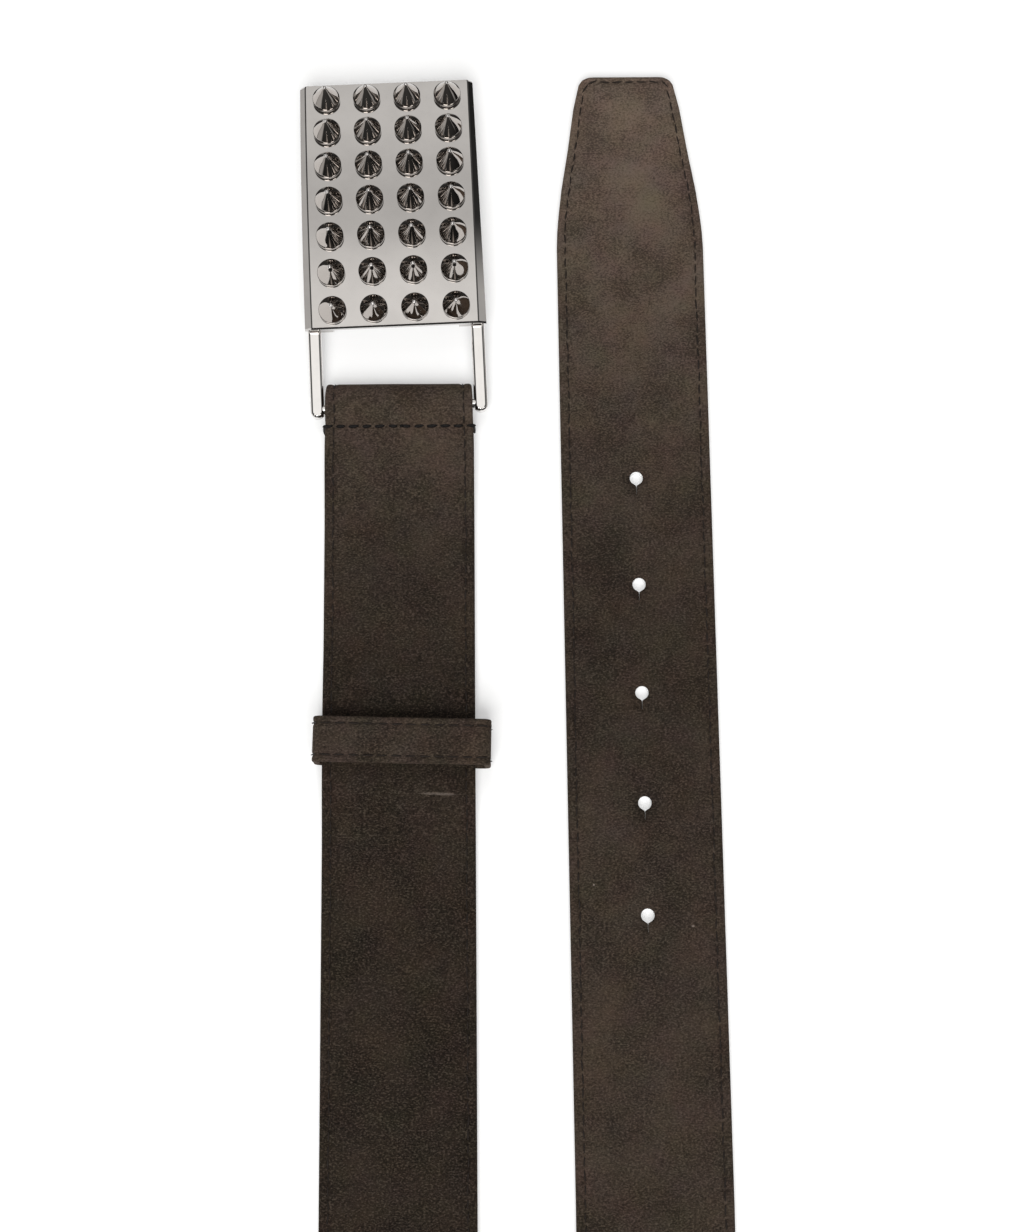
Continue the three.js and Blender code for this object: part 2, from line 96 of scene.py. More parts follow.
# %% Wires and benches
class Wire:
    """One output of a node, on which sums are written."""

    def __init__(self, bench, socket):
        self.bench, self.socket = bench, socket

    def sum_of(self, how, a, b=0.0):
        return self.bench.node("ShaderNodeMath", {"operation": how}, {0: a, 1: b})

    def __add__(self, other):
        return self.sum_of("ADD", self, other)

    def __sub__(self, other):
        return self.sum_of("SUBTRACT", self, other)

    def __rsub__(self, other):
        return self.sum_of("SUBTRACT", other, self)

    def __mul__(self, other):
        return self.sum_of("MULTIPLY", self, other)

    def __truediv__(self, other):
        return self.sum_of("DIVIDE", self, other)

    def __pow__(self, other):
        return self.sum_of("POWER", self, other)

    __radd__ = __add__
    __rmul__ = __mul__


class Bench:
    """A node tree on which nodes are set down and wired."""

    def __init__(self, tree):
        self.tree = tree

    def node(self, kind, settings=None, values=None, out=0):
        made = self.tree.nodes.new(kind)
        for name, value in (settings or {}).items():
            if name == "stops":
                ramp = made.color_ramp.elements
                while len(ramp) < len(value):
                    ramp.new(0.5)
                for stop, (place, colour) in zip(ramp, value):
                    stop.position, stop.color = place, colour
            else:
                setattr(made, name, value)
        self.fill(made, values or {})
        return Wire(self, made.outputs[out] if len(made.outputs) else None)

    def fill(self, node, values):
        """Gives each of the node's sockets in values a wire or a constant."""
        for key, value in values.items():
            if isinstance(value, Wire):
                self.tree.links.new(value.socket, node.inputs[key])
            else:
                node.inputs[key].default_value = value

    def noise(self, where, size, detail=2.0, rough=0.5, out=0):
        """Soft random values whose patches are about size millimetres across."""
        values = {"Vector": where, "Scale": 1 / (size * MM), "Detail": detail, "Roughness": rough}
        return self.node("ShaderNodeTexNoise", None, values, out)

    def ease(self, value, low, high, to_low=0.0, to_high=1.0):
        """value from low to high becomes to_low to to_high, with soft ends."""
        settings = {"interpolation_type": "SMOOTHSTEP"}
        values = {"Value": value, "From Min": low, "From Max": high, "To Min": to_low, "To Max": to_high}
        return self.node("ShaderNodeMapRange", settings, values)

    def blend(self, share, first, second):
        settings = {"data_type": "RGBA"}
        return self.node("ShaderNodeMix", settings, {0: share, 6: first, 7: second}, 2)

    def vector(self, how, a, b, out=0):
        return self.node("ShaderNodeVectorMath", {"operation": how}, {0: a, 1: b}, out)

    def times(self, direction, amount):
        return self.node("ShaderNodeVectorMath", {"operation": "SCALE"}, {0: direction, "Scale": amount})

    def named(self, name):
        """A direction that points of the mesh hold under a name, in Geometry Nodes."""
        settings = {"data_type": "FLOAT_VECTOR"}
        return self.node("GeometryNodeInputNamedAttribute", settings, {"Name": name})

    def parts(self, where):
        node = self.node("ShaderNodeSeparateXYZ", None, {0: where}).socket.node
        return [Wire(self, s) for s in node.outputs]


def new_material(name):
    """A material, a bench for its nodes, and a wire with the place on the object."""
    made = bpy.data.materials.new(name)
    made.use_nodes = True
    bench = Bench(made.node_tree)
    return made, bench, bench.node("ShaderNodeTexCoord", None, None, "Object")


def shade(bench, values):
    """Fills sockets of the material's own shader."""
    bench.fill(bench.tree.nodes["Principled BSDF"], values)


def colour(red, green, blue):
    """A colour as seen on a screen, 0 to 255, in the linear light that Blender works in."""
    line = [c / 255 for c in (red, green, blue)]
    return [c / 12.92 if c < 0.04045 else ((c + 0.055) / 1.055) ** 2.4 for c in line] + [1.0]


print("a dark brown in linear light:", [round(c, 4) for c in colour(60, 50, 41)])

# %% [markdown]
# ## Soft light from the studio
# Polished metal shows the room, so the room is part of the finish. The plate reflects a bright
# strip of ceiling that runs from near to far, the bevels and the cones reflect a dark room with a
# pale wall at each side, and each stud's collar shows two small lamps. These could be modelled as
# cards, but a world that is painted by direction does the same for every view and has no edges.
# The camera itself sees a pale room.

# %% The room by direction
world = bpy.data.worlds.new("studio")
bpy.context.scene.world = world
world.use_nodes = True
world.node_tree.nodes.clear()
room = Bench(world.node_tree)
towards = room.node("ShaderNodeTexCoord", None, None, "Generated")
east, north, height = room.parts(towards)


def lamp(x, y, z, inner, outer):
    """1 inside a round lamp in that direction, 0 outside; inner and outer are degrees."""
    aim = Vector((x, y, z)).normalized()
    near = room.vector("DOT_PRODUCT", towards, aim[:], "Value")
    return room.ease(near, math.cos(math.radians(outer)), math.cos(math.radians(inner)))


beside = (east + 0.04).sum_of("ABSOLUTE", east + 0.04)
strip = room.ease(beside, 0.16, 0.30, 1.0, 0.0) * room.ease(height, 0.50, 0.70)
strip = strip * room.ease(north, -0.32, -0.14)
ceiling = 0.60 + 0.36 * lamp(0, 0, 1, 7, 24) + 0.14 * room.ease(north, 0.45, 0.68)
ceiling = ceiling * strip + room.ease(height, 0.0, 0.9, 0.015, 0.10)
west_wall = 0.60 * room.ease(east, -0.5, -0.7) * room.ease(height, -0.02, 0.05)
west_wall = west_wall * room.ease(height, 0.42, 0.30)
east_wall = 0.52 * room.ease(east, 0.80, 0.90) * room.ease(north, 0.42, 0.25)
wall = west_wall + east_wall * room.ease(height, 0.16, 0.26)
lamps = 4.2 * lamp(-0.15, -0.40, 0.905, 9, 11) + 3.6 * lamp(0.34, -0.29, 0.89, 6, 8)
seen_light = ceiling + wall + lamps
is_camera = room.node("ShaderNodeLightPath", None, None, "Is Camera Ray")
strength = is_camera * 1.0 + (1 - is_camera) * seen_light
background = room.node("ShaderNodeBackground", None, {"Color": (1.0, 0.985, 0.965, 1), "Strength": strength})
room.node("ShaderNodeOutputWorld", None, {"Surface": background})


def soft_lamp(name, place, aim, size, power):
    """A large lamp that lights the suede and the table, but isn't seen in the metal."""
    lamp_data = bpy.data.lights.new(name, "AREA")
    lamp_data.shape, lamp_data.size, lamp_data.energy = "DISK", size, power
    made = bpy.data.objects.new(name, lamp_data)
    bpy.context.scene.collection.objects.link(made)
    made.location = place
    made.rotation_euler = (Vector(aim) - Vector(place)).to_track_quat("-Z", "Y").to_euler()
    made.visible_glossy = False


soft_lamp("lamp_far", (-0.2, 2.2, 3.2), (0, 0, 0), 2.4, 38)
soft_lamp("lamp_near", (-0.2, -2.5, 3.4), (0, 0, 0), 3.4, 235)
print("lamps set")

# %% [markdown]
# ## The table
# The belt's background is pure white, and its shadows are only a few millimetres wide. A table
# that is only lit from above would need so much light for this that the suede turned pale, so the
# board gives a part of its light itself. It has a faint unevenness, as real board has.

# %% Table top
bpy.ops.mesh.primitive_plane_add(size=6)
table = bpy.context.object
table.name = "table"
board, bench, where = new_material("pale_board")
tone = bench.blend(bench.noise(where, 60), (0.50, 0.50, 0.498, 1), (0.52, 0.52, 0.518, 1))
shade(bench, {"Base Color": tone, "Roughness": 0.8, "Specular IOR Level": 0.1,
              "Emission Color": (1, 1, 1, 1), "Emission Strength": 0.33})
table.data.materials.append(board)
table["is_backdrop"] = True

# %% [markdown]
# ## Suede
# Suede is the flesh side of leather, brushed up into a short nap. Fibres lie in different
# directions, so broad clouds of lighter and darker brown cross it, with small dark pits and pale
# fibre ends on top. An image would show this at one scale only, so three sizes of noise make the
# clouds, the mottle and the grain. The strap is also paler at the tip, near the fold and a little
# along the middle, partly from wear by hands and partly as painted light. The nap's ends catch
# light at the edges, which is what sheen is.

# %% Suede material
TIP_RUN = 1.009  # metres along the strap to its tip
# A pale scratch and two flecks: place and half size in millimetres, and strength.
MARKS = [((-18.9, 54.6), (5.4, 0.45), 0.3), ((21.2, 30.9), (0.32, 0.35), 0.8),
         ((46.6, 20.2), (0.5, 0.3), 0.7)]
MARK_SLOPE, MARK_TONE = 0.04, (0.20, 0.165, 0.14, 1.0)


def suede_finish(name, deep, body_tone, worn, wear_and_light_tone):
    """Brushed leather in browns, from the pits to the worn fibre ends, paler towards the tip and the fold from
    wear and painted light.
    """
    made, bench, where = new_material(name)
    clouds = bench.noise(where, 15, 3.0, 0.55)
    mottle = bench.noise(where, 3.0, 3.0, 0.6)
    grain = bench.noise(where, 0.6, 2.0, 0.8)
    fibres = bench.noise(bench.vector("MULTIPLY", where, (1.0, 1.6, 1.0)), 0.62, 1.0, 0.6)
    _, way, _ = bench.parts(bench.node("ShaderNodeUVMap", {"uv_map": "run"}))
    share = 0.5 + 1.9 * (grain - 0.5) + 0.55 * (mottle - 0.5) + 1.0 * (clouds - 0.5)
    brown = bench.blend(bench.ease(share, 0.0, 1.0), deep, body_tone)
    brown = bench.blend(bench.ease(fibres, 0.46, 0.76) * 0.68, brown, worn)
    # Paler at the tip, near the fold and a little along the middle: partly wear from hands, partly painted
    # light that stands in for brighter lighting there.
    tip_wear_and_light = (way - (TIP_RUN - 0.20)) / 0.20
    tip_wear_and_light = 0.74 * tip_wear_and_light.sum_of("MAXIMUM", tip_wear_and_light, 0.0) ** 1.7
    fold_wear_and_light = 1.0 - (way - 0.012) / 0.085
    fold_wear_and_light = 0.28 * fold_wear_and_light.sum_of("MAXIMUM", fold_wear_and_light, 0.0) ** 1.3
    middle = bench.ease(way, TIP_RUN - 0.14, TIP_RUN - 0.23) * bench.ease(way, 0.30, 0.55)
    wear_and_painted_light = tip_wear_and_light + fold_wear_and_light + 0.12 * middle
    patches = 0.6 * clouds + 0.6 * grain + 0.5 * fibres + 0.2 * mottle
    wear_and_painted_light = wear_and_painted_light * bench.ease(patches, 0.76, 1.14, 0.5, 1.5)
    # The pale tone laid on here is wear and painted light together.
    brown = bench.blend(wear_and_painted_light, brown, wear_and_light_tone)
    warm = bench.noise(where, 8, 2.0, 0.5, "Color")
    settings = {"data_type": "RGBA", "blend_type": "OVERLAY"}
    brown = bench.node("ShaderNodeMix", settings, {0: 0.12, 6: brown, 7: warm}, 2)
    x, y, _ = bench.parts(where)
    for place, size, strength in MARKS:
        from_x, from_y = x - place[0] * MM, y - place[1] * MM
        off_x, off_y = from_x / (size[0] * MM), (from_y + MARK_SLOPE * from_x) / (size[1] * MM)
        near = bench.ease(off_x * off_x + off_y * off_y, 0.3, 1.0, 1.0, 0.0) * strength
        near = near * bench.ease(grain, 0.35, 0.6, 0.45, 1.0)
        brown = bench.blend(near, brown, MARK_TONE)
    nap = grain * 0.8 + fibres * 0.5 + mottle * 0.4
    raised = bench.node("ShaderNodeBump", None, {"Height": nap, "Strength": 0.6, "Distance": 0.26 * MM})
    shade(bench, {"Base Color": brown, "Normal": raised, "Roughness": 0.95, "Specular IOR Level": 0.15,
                  "Sheen Weight": 0.16, "Sheen Roughness": 0.4, "Sheen Tint": colour(168, 146, 128)})
    return made


# The pale tone given for the tip and fold stands for wear and for painted light.
suede = suede_finish("brown_suede", deep=colour(17, 14, 11), body_tone=colour(41, 34, 28),
                     worn=colour(69, 60, 52), wear_and_light_tone=colour(93, 80, 70))
print("suede nodes:", len(suede.node_tree.nodes))

# %% [markdown]
# ## Waxed thread
# The seams are sewn in a dark brown thread of a few twisted plies. At this size a ply is a shadow
# line, so a slanted wave along each stitch makes the twist in both tone and height.

# %% Thread material
def thread_finish(name, dark, light):
    """Twisted thread, between a dark and a light tone."""
    made, bench, where = new_material(name)
    settings = {"bands_direction": "DIAGONAL"}
    twist = bench.node("ShaderNodeTexWave", settings, {"Vector": where, "Scale": 1300, "Distortion": 1.2})
    raised = bench.node("ShaderNodeBump", None, {"Height": twist, "Strength": 0.5, "Distance": 0.05 * MM})
    tone = bench.blend(twist * 0.6 + bench.noise(where, 1.5) * 0.4, dark, light)
    shade(bench, {"Base Color": tone, "Normal": raised, "Roughness": 0.62})
    return made


thread = thread_finish("dark_thread", colour(15, 11, 9), colour(34, 27, 22))
heavy_thread = thread_finish("black_thread", colour(3, 2, 2), colour(13, 10, 9))
print("threads made")

# %% [markdown]
# ## Polished gunmetal
# The buckle is polished and plated in a warm grey metal. It is close to a mirror, with the faint
# ripple of hand polishing and hairline scratches that only show in a highlight. The studs are a
# darker tone of it as painted shade, with a pale painted highlight on their ball tips, which are
# also rougher, and the bail is a lighter tone of it as painted light.

# %% Gunmetal material
def metal_finish(name, tone, ripple, rough, wear=1.0, highlit=None):
    """Polished metal; highlit names the attribute that is 1 where a pale highlight is painted on and the metal
    is rougher.
    """
    made, bench, where = new_material(name)
    haze = bench.noise(where, 9, 3.0, 0.6)
    scratch = bench.noise(bench.vector("MULTIPLY", where, (6.0, 0.4, 3.0)), 1.6, 2.0, 0.6)
    dull = tuple(0.86 * c for c in tone[:3]) + (1.0,)
    worn = (bench.ease(haze, 0.3, 0.7) * 0.5 + bench.ease(scratch, 0.6, 0.8) * 0.2) * wear
    grey = bench.blend(worn, tone, dull)
    if highlit:
        tip_highlight = bench.node("ShaderNodeAttribute", {"attribute_name": highlit}, None, 2)
        # A pale painted highlight on the ball tips, standing in for a bright reflection; the metal there is
        # also rougher.
        grey = bench.blend(tip_highlight, grey, (0.86, 0.83, 0.81, 1.0))
        rough = rough + 0.2 * tip_highlight
    polish = rough + wear * (0.02 * bench.ease(haze, 0.35, 0.75) + 0.03 * bench.ease(scratch, 0.62, 0.8))
    raised = bench.node("ShaderNodeBump", None, {"Height": haze, "Strength": ripple, "Distance": 0.05 * MM})
    shade(bench, {"Base Color": grey, "Normal": raised, "Roughness": polish, "Metallic": 1.0})
    return made


# One gunmetal in three tones: the studs' darker tone is painted shade, the bail's lighter tone is painted
# light.
gunmetal = metal_finish("polished_gunmetal", (0.60, 0.578, 0.56, 1.0), 0.03, 0.025)
stud_metal_painted_shade = metal_finish("stud_gunmetal", (0.46, 0.425, 0.398, 1.0), 0.0, 0.04, 0.2, highlit="tip")
bail_metal_painted_light = metal_finish("bail_gunmetal", (0.84, 0.82, 0.80, 1.0), 0.03, 0.025)
print("gunmetal nodes:", len(gunmetal.node_tree.nodes))

# %% [markdown]
# ## The line that the strap follows
# The strap is one long band. It starts as a short ply under the bail's bar, turns round the bar,
# runs down the left leg and under the keeper, twists onto its edge, goes round the U, and comes
# back flat to the tip. Drawing that as a curve would leave its twist to chance, so the line is a
# list of places, each with the direction across the band and the direction out of its face.

# %% Sizes of the strap, in millimetres
BAR = Vector((-29.2676, 158.6814, 0.0))  # middle of the bail's bar on the table, in the belt's frame
WIDE, THICK, LENGTH = 40.0, 3.0, 985.0
LEGS_APART, TIP_LEAN, TIP_LENGTH, TIP_AT = 64.8, 0.43, 50.0, 94.9
TWIST, TURN_RADIUS = 150.0, (LEGS_APART + WIDE) / 2
FOLD_THICK, FOLD_WIDE, CREST_WIDE, CREST_AT, SEAM_DOWN = 2.4, 39.4, 38.9, 6.1, 5.3
PLY_END, FOLD_RAMP, FOLD_GAP, FOLD_AT, BAR_D, BAR_HEIGHT = 10.7, 24.0, 0.3, 1.9, 3.0, 4.2
KEEPER_AT, KEEPER_LONG, KEEPER_RAMP, KEEPER_LIFT, KEEPER_WALL = 90.7, 11.9, 22.0, 1.9, 1.6
EDGE_ROUND = 0.8
TIP_SHAPE = [(0, 0.4), (0.008, 0.53), (0.024, 0.61), (0.05, 0.655), (0.19, 0.735), (0.43, 0.823),
             (0.66, 0.922), (0.8, 0.966), (0.9, 0.99), (1, 1)]
FLAT_RUN = (LENGTH - CREST_AT - TIP_AT - 2 * math.hypot(TWIST, WIDE / 2) - math.pi * TURN_RADIUS) / 2
print("each leg lies flat for", round(FLAT_RUN, 1), "mm")


# %% Heights and widths down the leg
def smooth(low, high, value):
    share = np.clip((value - low) / (high - low), 0, 1)
    return share * share * (3 - 2 * share)


def lift(down):
    """Height of the strap's underside, by the distance down the leg from the bar."""
    over_bar, on_ply = FOLD_THICK + BAR_D + 2 * FOLD_GAP, FOLD_THICK + FOLD_GAP
    fold = over_bar + (on_ply - over_bar) * smooth(BAR_D / 4, SEAM_DOWN, down)
    fold = fold * (1 - smooth(PLY_END, PLY_END + FOLD_RAMP, down))
    half = KEEPER_LONG / 2 + 1
    return fold + KEEPER_LIFT * (1 - smooth(half, half + KEEPER_RAMP, np.abs(down - KEEPER_AT)))


def tip_leg_x(y):
    return LEGS_APART - math.tan(math.radians(TIP_LEAN)) * (y + FLAT_RUN)


def tip_half(away):
    """Half the width near the tip, by the distance from its end, on a smooth curve through the shape."""
    places = np.array([p * TIP_LENGTH for p, _ in TIP_SHAPE])
    halves = np.array([h * WIDE / 2 for _, h in TIP_SHAPE])
    fine = np.linspace(0, 1, 400) ** 2 * TIP_LENGTH
    line = np.interp(fine, places, halves)
    for _ in range(14):
        line[1:-1] = (line[:-2] + 2 * line[1:-1] + line[2:]) / 4
    return np.interp(away, fine, line)


# %% Stations from the under ply to the tip
def strap_line():
    """Rows of x, y, z, turn, half thickness, half width, side (-1 left leg, 1 right leg), squeeze."""
    rows = []
    thin, radius = FOLD_THICK / 2, BAR_D / 2 + FOLD_GAP + FOLD_THICK / 2
    for away in (0, 0.08, 0.25, 0.5, 0.8):
        squeeze = math.sqrt(1 - (1 - away / EDGE_ROUND) ** 2)
        rows.append((0, -PLY_END + away, thin, 0, thin, FOLD_WIDE / 2, -1, squeeze))
    for y in np.linspace(-PLY_END + 1.5, -0.5, 9):
        rows.append((0, y, thin, 0, thin, FOLD_WIDE / 2, -1, 1))
    for angle in np.linspace(-math.pi / 2, math.pi / 2, 41):
        half = FOLD_WIDE / 2 + (CREST_WIDE - FOLD_WIDE) / 2 * math.cos(angle)
        y, z = FOLD_AT + radius * math.cos(angle), BAR_HEIGHT + radius * math.sin(angle)
        rows.append((0, y, z, 0, thin, half, -1, 1))
    down = np.concatenate([np.linspace(-1.2, 36, 75), np.linspace(37.5, 60, 14), np.linspace(61.5, 121, 50),
                           np.linspace(123.5, FLAT_RUN - 2, 33)])
    for d in down:
        share = smooth(PLY_END, PLY_END + FOLD_RAMP, d)
        half_thick = (FOLD_THICK + (THICK - FOLD_THICK) * share) / 2
        slope = (lift(d + 0.05) - lift(d - 0.05)) / 0.1
        half_wide = (FOLD_WIDE + (WIDE - FOLD_WIDE) * smooth(0, 11.4, d)) / 2
        rows.append((0, -d, lift(d) + half_thick * math.hypot(1, slope), 0, half_thick, half_wide, -1, 1))
    twist = []
    for share in np.linspace(0, 1, 76):
        turn = math.pi / 2 * smooth(0, 1, share)
        aside = WIDE / 2 * (1 - math.cos(turn))
        z = WIDE / 2 * math.sin(turn) + THICK / 2 * math.cos(turn)
        twist.append((aside, -FLAT_RUN - TWIST * share, z, turn))
    rows += [(-aside, y, z, turn, THICK / 2, WIDE / 2, -1, 1) for aside, y, z, turn in twist]
    for angle in np.linspace(math.pi, 2 * math.pi, 82)[1:-1]:
        x = LEGS_APART / 2 + TURN_RADIUS * math.cos(angle)
        y = -FLAT_RUN - TWIST + TURN_RADIUS * math.sin(angle)
        rows.append((x, y, WIDE / 2, math.pi / 2, THICK / 2, WIDE / 2, -1, 1))
    rows += [(LEGS_APART + aside, y, z, turn, THICK / 2, WIDE / 2, 1, 1)
             for aside, y, z, turn in twist[::-1]]
    tip_ys = np.concatenate([np.arange(-FLAT_RUN + 2.5, TIP_AT - TIP_LENGTH, 2.5),
                             TIP_AT - np.linspace(TIP_LENGTH, 3.2, 48), TIP_AT - np.linspace(2.6, 0, 22)])
    for y in tip_ys:
        away = TIP_AT - y
        squeeze = math.sqrt(max(1 - max(1 - away / EDGE_ROUND, 0) ** 2, 0))
        rows.append((tip_leg_x(y), y, THICK / 2, 0, THICK / 2, tip_half(away), 1, squeeze))
    return np.array(rows, float)


line = strap_line()
print("stations:", len(line))


# %% Directions at each station
def strap_directions(line):
    """For each station: its place, and the directions across the band and out of its face."""
    place = line[:, :3].copy()
    ahead = np.vstack([place[1:], place[-1:]])
    behind = np.vstack([place[:1], place[:-1]])
    along = ahead - behind
    along /= np.linalg.norm(along, axis=1)[:, None]
    turn, side = line[:, 3], line[:, 6]
    face = np.stack([side * np.sin(turn), 0 * turn, np.cos(turn)], 1)
    upright = turn > math.pi / 2 - 1e-6
    face[upright] = np.stack([along[upright, 1], -along[upright, 0], 0 * along[upright, 0]], 1)
    across = np.cross(face, along) + 1e-12
    across /= np.linalg.norm(across, axis=1)[:, None]
    flat = turn == 0
    across[flat] = np.stack([-side[flat], 0 * side[flat], 0 * side[flat]], 1)
    face = np.cross(along, across)
    face /= np.linalg.norm(face, axis=1)[:, None]
    outline = [(-1, -0.6), (-1, 0.6), (1, -0.6), (1, 0.6), (0.96, 1), (0.96, -1), (-0.96, 1), (-0.96, -1)]
    low = np.min([a * line[:, 5] * across[:, 2] + b * line[:, 4] * face[:, 2] for a, b in outline], 0)
    turned = turn > 0
    place[turned, 2] = -low[turned]
    return place, across, face


place, across, face = strap_directions(line)
run = np.concatenate([[0], np.cumsum(np.linalg.norm(np.diff(place, axis=0), axis=1))])
print("strap along its middle:", round(run[-1], 1), "mm")


def on_strap(where, aside, height):
    """Places on the strap in metres: where along it, how far aside of its middle, how high over it."""
    def at(values):
        return np.stack([np.interp(where, run, values[:, i]) for i in range(3)], -1)
    points = at(place) + at(across) * np.asarray(aside)[:, None] + at(face) * np.asarray(height)[:, None]
    return (points + np.array(BAR)) * MM


# %% [markdown]
# ## A band swept along that line
# A band whose section is carried along a line follows a rule, so Geometry Nodes make it. Curve to
# Mesh would scale width and thickness together, so the tree lays a grid instead: each row reads one
# station, each column reads one point of the section. Section points near an edge keep their
# distance from it where the band narrows. The seam is pressed in where the stitches run.

# %% Helpers for trees and plain meshes
def plain_mesh(name, points, faces=(), edges=()):
    made = bpy.data.meshes.new(name)
    made.from_pydata([tuple(p) for p in points], [tuple(e) for e in edges], [tuple(f) for f in faces])
    thing = bpy.data.objects.new(name, made)
    bpy.context.scene.collection.objects.link(thing)
    return thing


def note(thing, name, values, kind="FLOAT"):
    """Keeps a value for each point of a mesh under a name."""
    kept = thing.data.attributes.new(name, kind, "POINT")
    key = "vector" if kind == "FLOAT_VECTOR" else "value"
    kept.data.foreach_set(key, np.asarray(values, np.float32).ravel())


def new_tree(name, inputs):
    """A Geometry Nodes tree with named inputs; gives its bench and a wire for each input."""
    tree = bpy.data.node_groups.new(name, "GeometryNodeTree")
    tree.interface.new_socket(name="Geometry", in_out="OUTPUT", socket_type="NodeSocketGeometry")
    for label, kind, value in inputs:
        made = tree.interface.new_socket(name=label, in_out="INPUT", socket_type="NodeSocket" + kind)
        if value is not None:
            made.default_value = value
    bench = Bench(tree)
    start = tree.nodes.new("NodeGroupInput")
    return bench, {label: Wire(bench, start.outputs[label]) for label, _, _ in inputs}


def grow(thing, tree, **values):
    """Adds the tree as a modifier and sets its inputs by their identifiers."""
    modifier = thing.modifiers.new(tree.name, "NODES")
    modifier.node_group = tree
    for item in tree.interface.items_tree:
        label = item.name.replace(" ", "_").lower()
        if item.in_out == "INPUT" and label in values:
            modifier[item.identifier] = values[label]
    return modifier


def settle(thing, name):
    """Turns what the modifiers made into a plain mesh in a new piece, and removes the old one."""
    seen = thing.evaluated_get(bpy.context.evaluated_depsgraph_get())
    made = bpy.data.meshes.new_from_object(seen)
    made.name = name
    piece = bpy.data.objects.new(name, made)
    bpy.context.scene.collection.objects.link(piece)
    bpy.data.objects.remove(thing)
    piece.name = name
    print(name, "triangles:", sum(len(p.vertices) - 2 for p in made.polygons))
    return piece


def end_tree(bench, made, finish):
    """Makes instances real, shades them smooth and sets their material."""
    made = bench.node("GeometryNodeRealizeInstances", None, {"Geometry": made})
    made = bench.node("GeometryNodeSetShadeSmooth", None, {"Geometry": made})
    made = bench.node("GeometryNodeSetMaterial", None, {"Geometry": made, "Material": finish})
    bench.node("NodeGroupOutput", None, {"Geometry": made})
    return bench.tree


# %% The tree that sweeps a band
def band_tree():
    bench, given = new_tree("sweep_a_band", [
        ("Line", "Geometry", None), ("Section", "Object", None), ("Seam", "Object", None),
        ("Seam Width", "Float", 0.5 * MM), ("Seam Depth", "Float", 0.2 * MM), ("Waviness", "Float", 0.08 * MM),
        ("Seed", "Float", 3.0), ("Finish", "Material", None)])
    section = bench.node("GeometryNodeObjectInfo", None, {"Object": given["Section"]}, "Geometry")
    seam = bench.node("GeometryNodeObjectInfo", None, {"Object": given["Seam"]}, "Geometry")
    rows, columns = (
        bench.node("GeometryNodeAttributeDomainSize", {"component": "MESH"}, {0: mesh}, "Point Count")
        for mesh in (given["Line"], section))
    grid = bench.node("GeometryNodeMeshGrid", None, {"Vertices X": rows, "Vertices Y": columns}, "Mesh")
    index = bench.node("GeometryNodeInputIndex")
    row = ((index + 0.5) / columns).sum_of("FLOOR", (index + 0.5) / columns)
    column = index - row * columns

    def read(source, name, at, kind):
        if name == "position":
            value = bench.node("GeometryNodeInputPosition")
        else:
            value = bench.node("GeometryNodeInputNamedAttribute", {"data_type": kind}, {"Name": name})
        settings = {"data_type": kind, "domain": "POINT"}
        values = {"Geometry": source, "Value": value, "Index": at}
        return bench.node("GeometryNodeSampleIndex", settings, values)

    middle = read(given["Line"], "position", row, "FLOAT_VECTOR")
    sideways = read(given["Line"], "across", row, "FLOAT_VECTOR")
    outwards = read(given["Line"], "face", row, "FLOAT_VECTOR")
    half_wide, half_thick, squeeze, shrink, way = (
        read(given["Line"], n, row, "FLOAT") for n in ("half_wide", "half_thick", "squeeze", "shrink", "run"))
    side_share, side_more, high_share, high_more = (
        read(section, n, column, "FLOAT") for n in ("side_share", "side_more", "high_share", "high_more"))
    aside = side_share * half_wide + side_more * shrink
    high = squeeze * (high_share * half_thick + high_more)
    spot = bench.vector("ADD", middle, bench.times(sideways, aside))
    spot = bench.vector("ADD", spot, bench.times(outwards, high))
    band = bench.node("GeometryNodeSetPosition", None, {"Geometry": grid, "Position": spot})
    settings = {"data_type": "FLOAT_VECTOR", "domain": "POINT"}
    strip = bench.node("ShaderNodeCombineXYZ", None, {"X": aside, "Y": way, "Z": high_share})
    for name, value in (("strip", strip), ("out", outwards)):
        values = {"Geometry": band, "Name": name, "Value": value}
        band = bench.node("GeometryNodeStoreNamedAttribute", settings, values)
    here = bench.node("GeometryNodeInputPosition")
    outward = bench.named("out")
    strip_again = bench.named("strip")
    part_of_height = bench.parts(strip_again)[2]
    distance = bench.node("GeometryNodeProximity", {"target_element": "EDGES"}, {0: seam}, "Distance")
    near, far = given["Seam Width"] * 0.2, given["Seam Width"] * 1.6
    pressed = bench.ease(distance, near, far, 1.0, 0.0) * given["Seam Depth"]
    shifted = bench.vector("ADD", here, bench.node("ShaderNodeCombineXYZ", None, {"X": given["Seed"]}))
    ripple = (bench.noise(shifted, 14, 2.0) - 0.5) * given["Waviness"] * 2
    move = ripple - pressed * part_of_height
    offset = bench.times(outward, move)
    band = bench.node("GeometryNodeSetPosition", None, {"Geometry": band, "Offset": offset})
    settings = {"data_type": "FLOAT2", "domain": "CORNER"}
    band = bench.node("GeometryNodeStoreNamedAttribute", settings,
                      {"Geometry": band, "Name": "run", "Value": strip_again})
    band = bench.node("GeometryNodeMergeByDistance", None, {"Geometry": band, "Distance": 0.004 * MM})
    return end_tree(bench, band, given["Finish"])


sweep_a_band = band_tree()
print("sweep nodes:", len(sweep_a_band.nodes))


# %% [markdown]
# ## The band's section and its seams
# The section is an oblong with rolled edges. It is denser where the seam is pressed in. The seam
# follows the outline a little over two millimetres inside it, along both edges and round the tip.

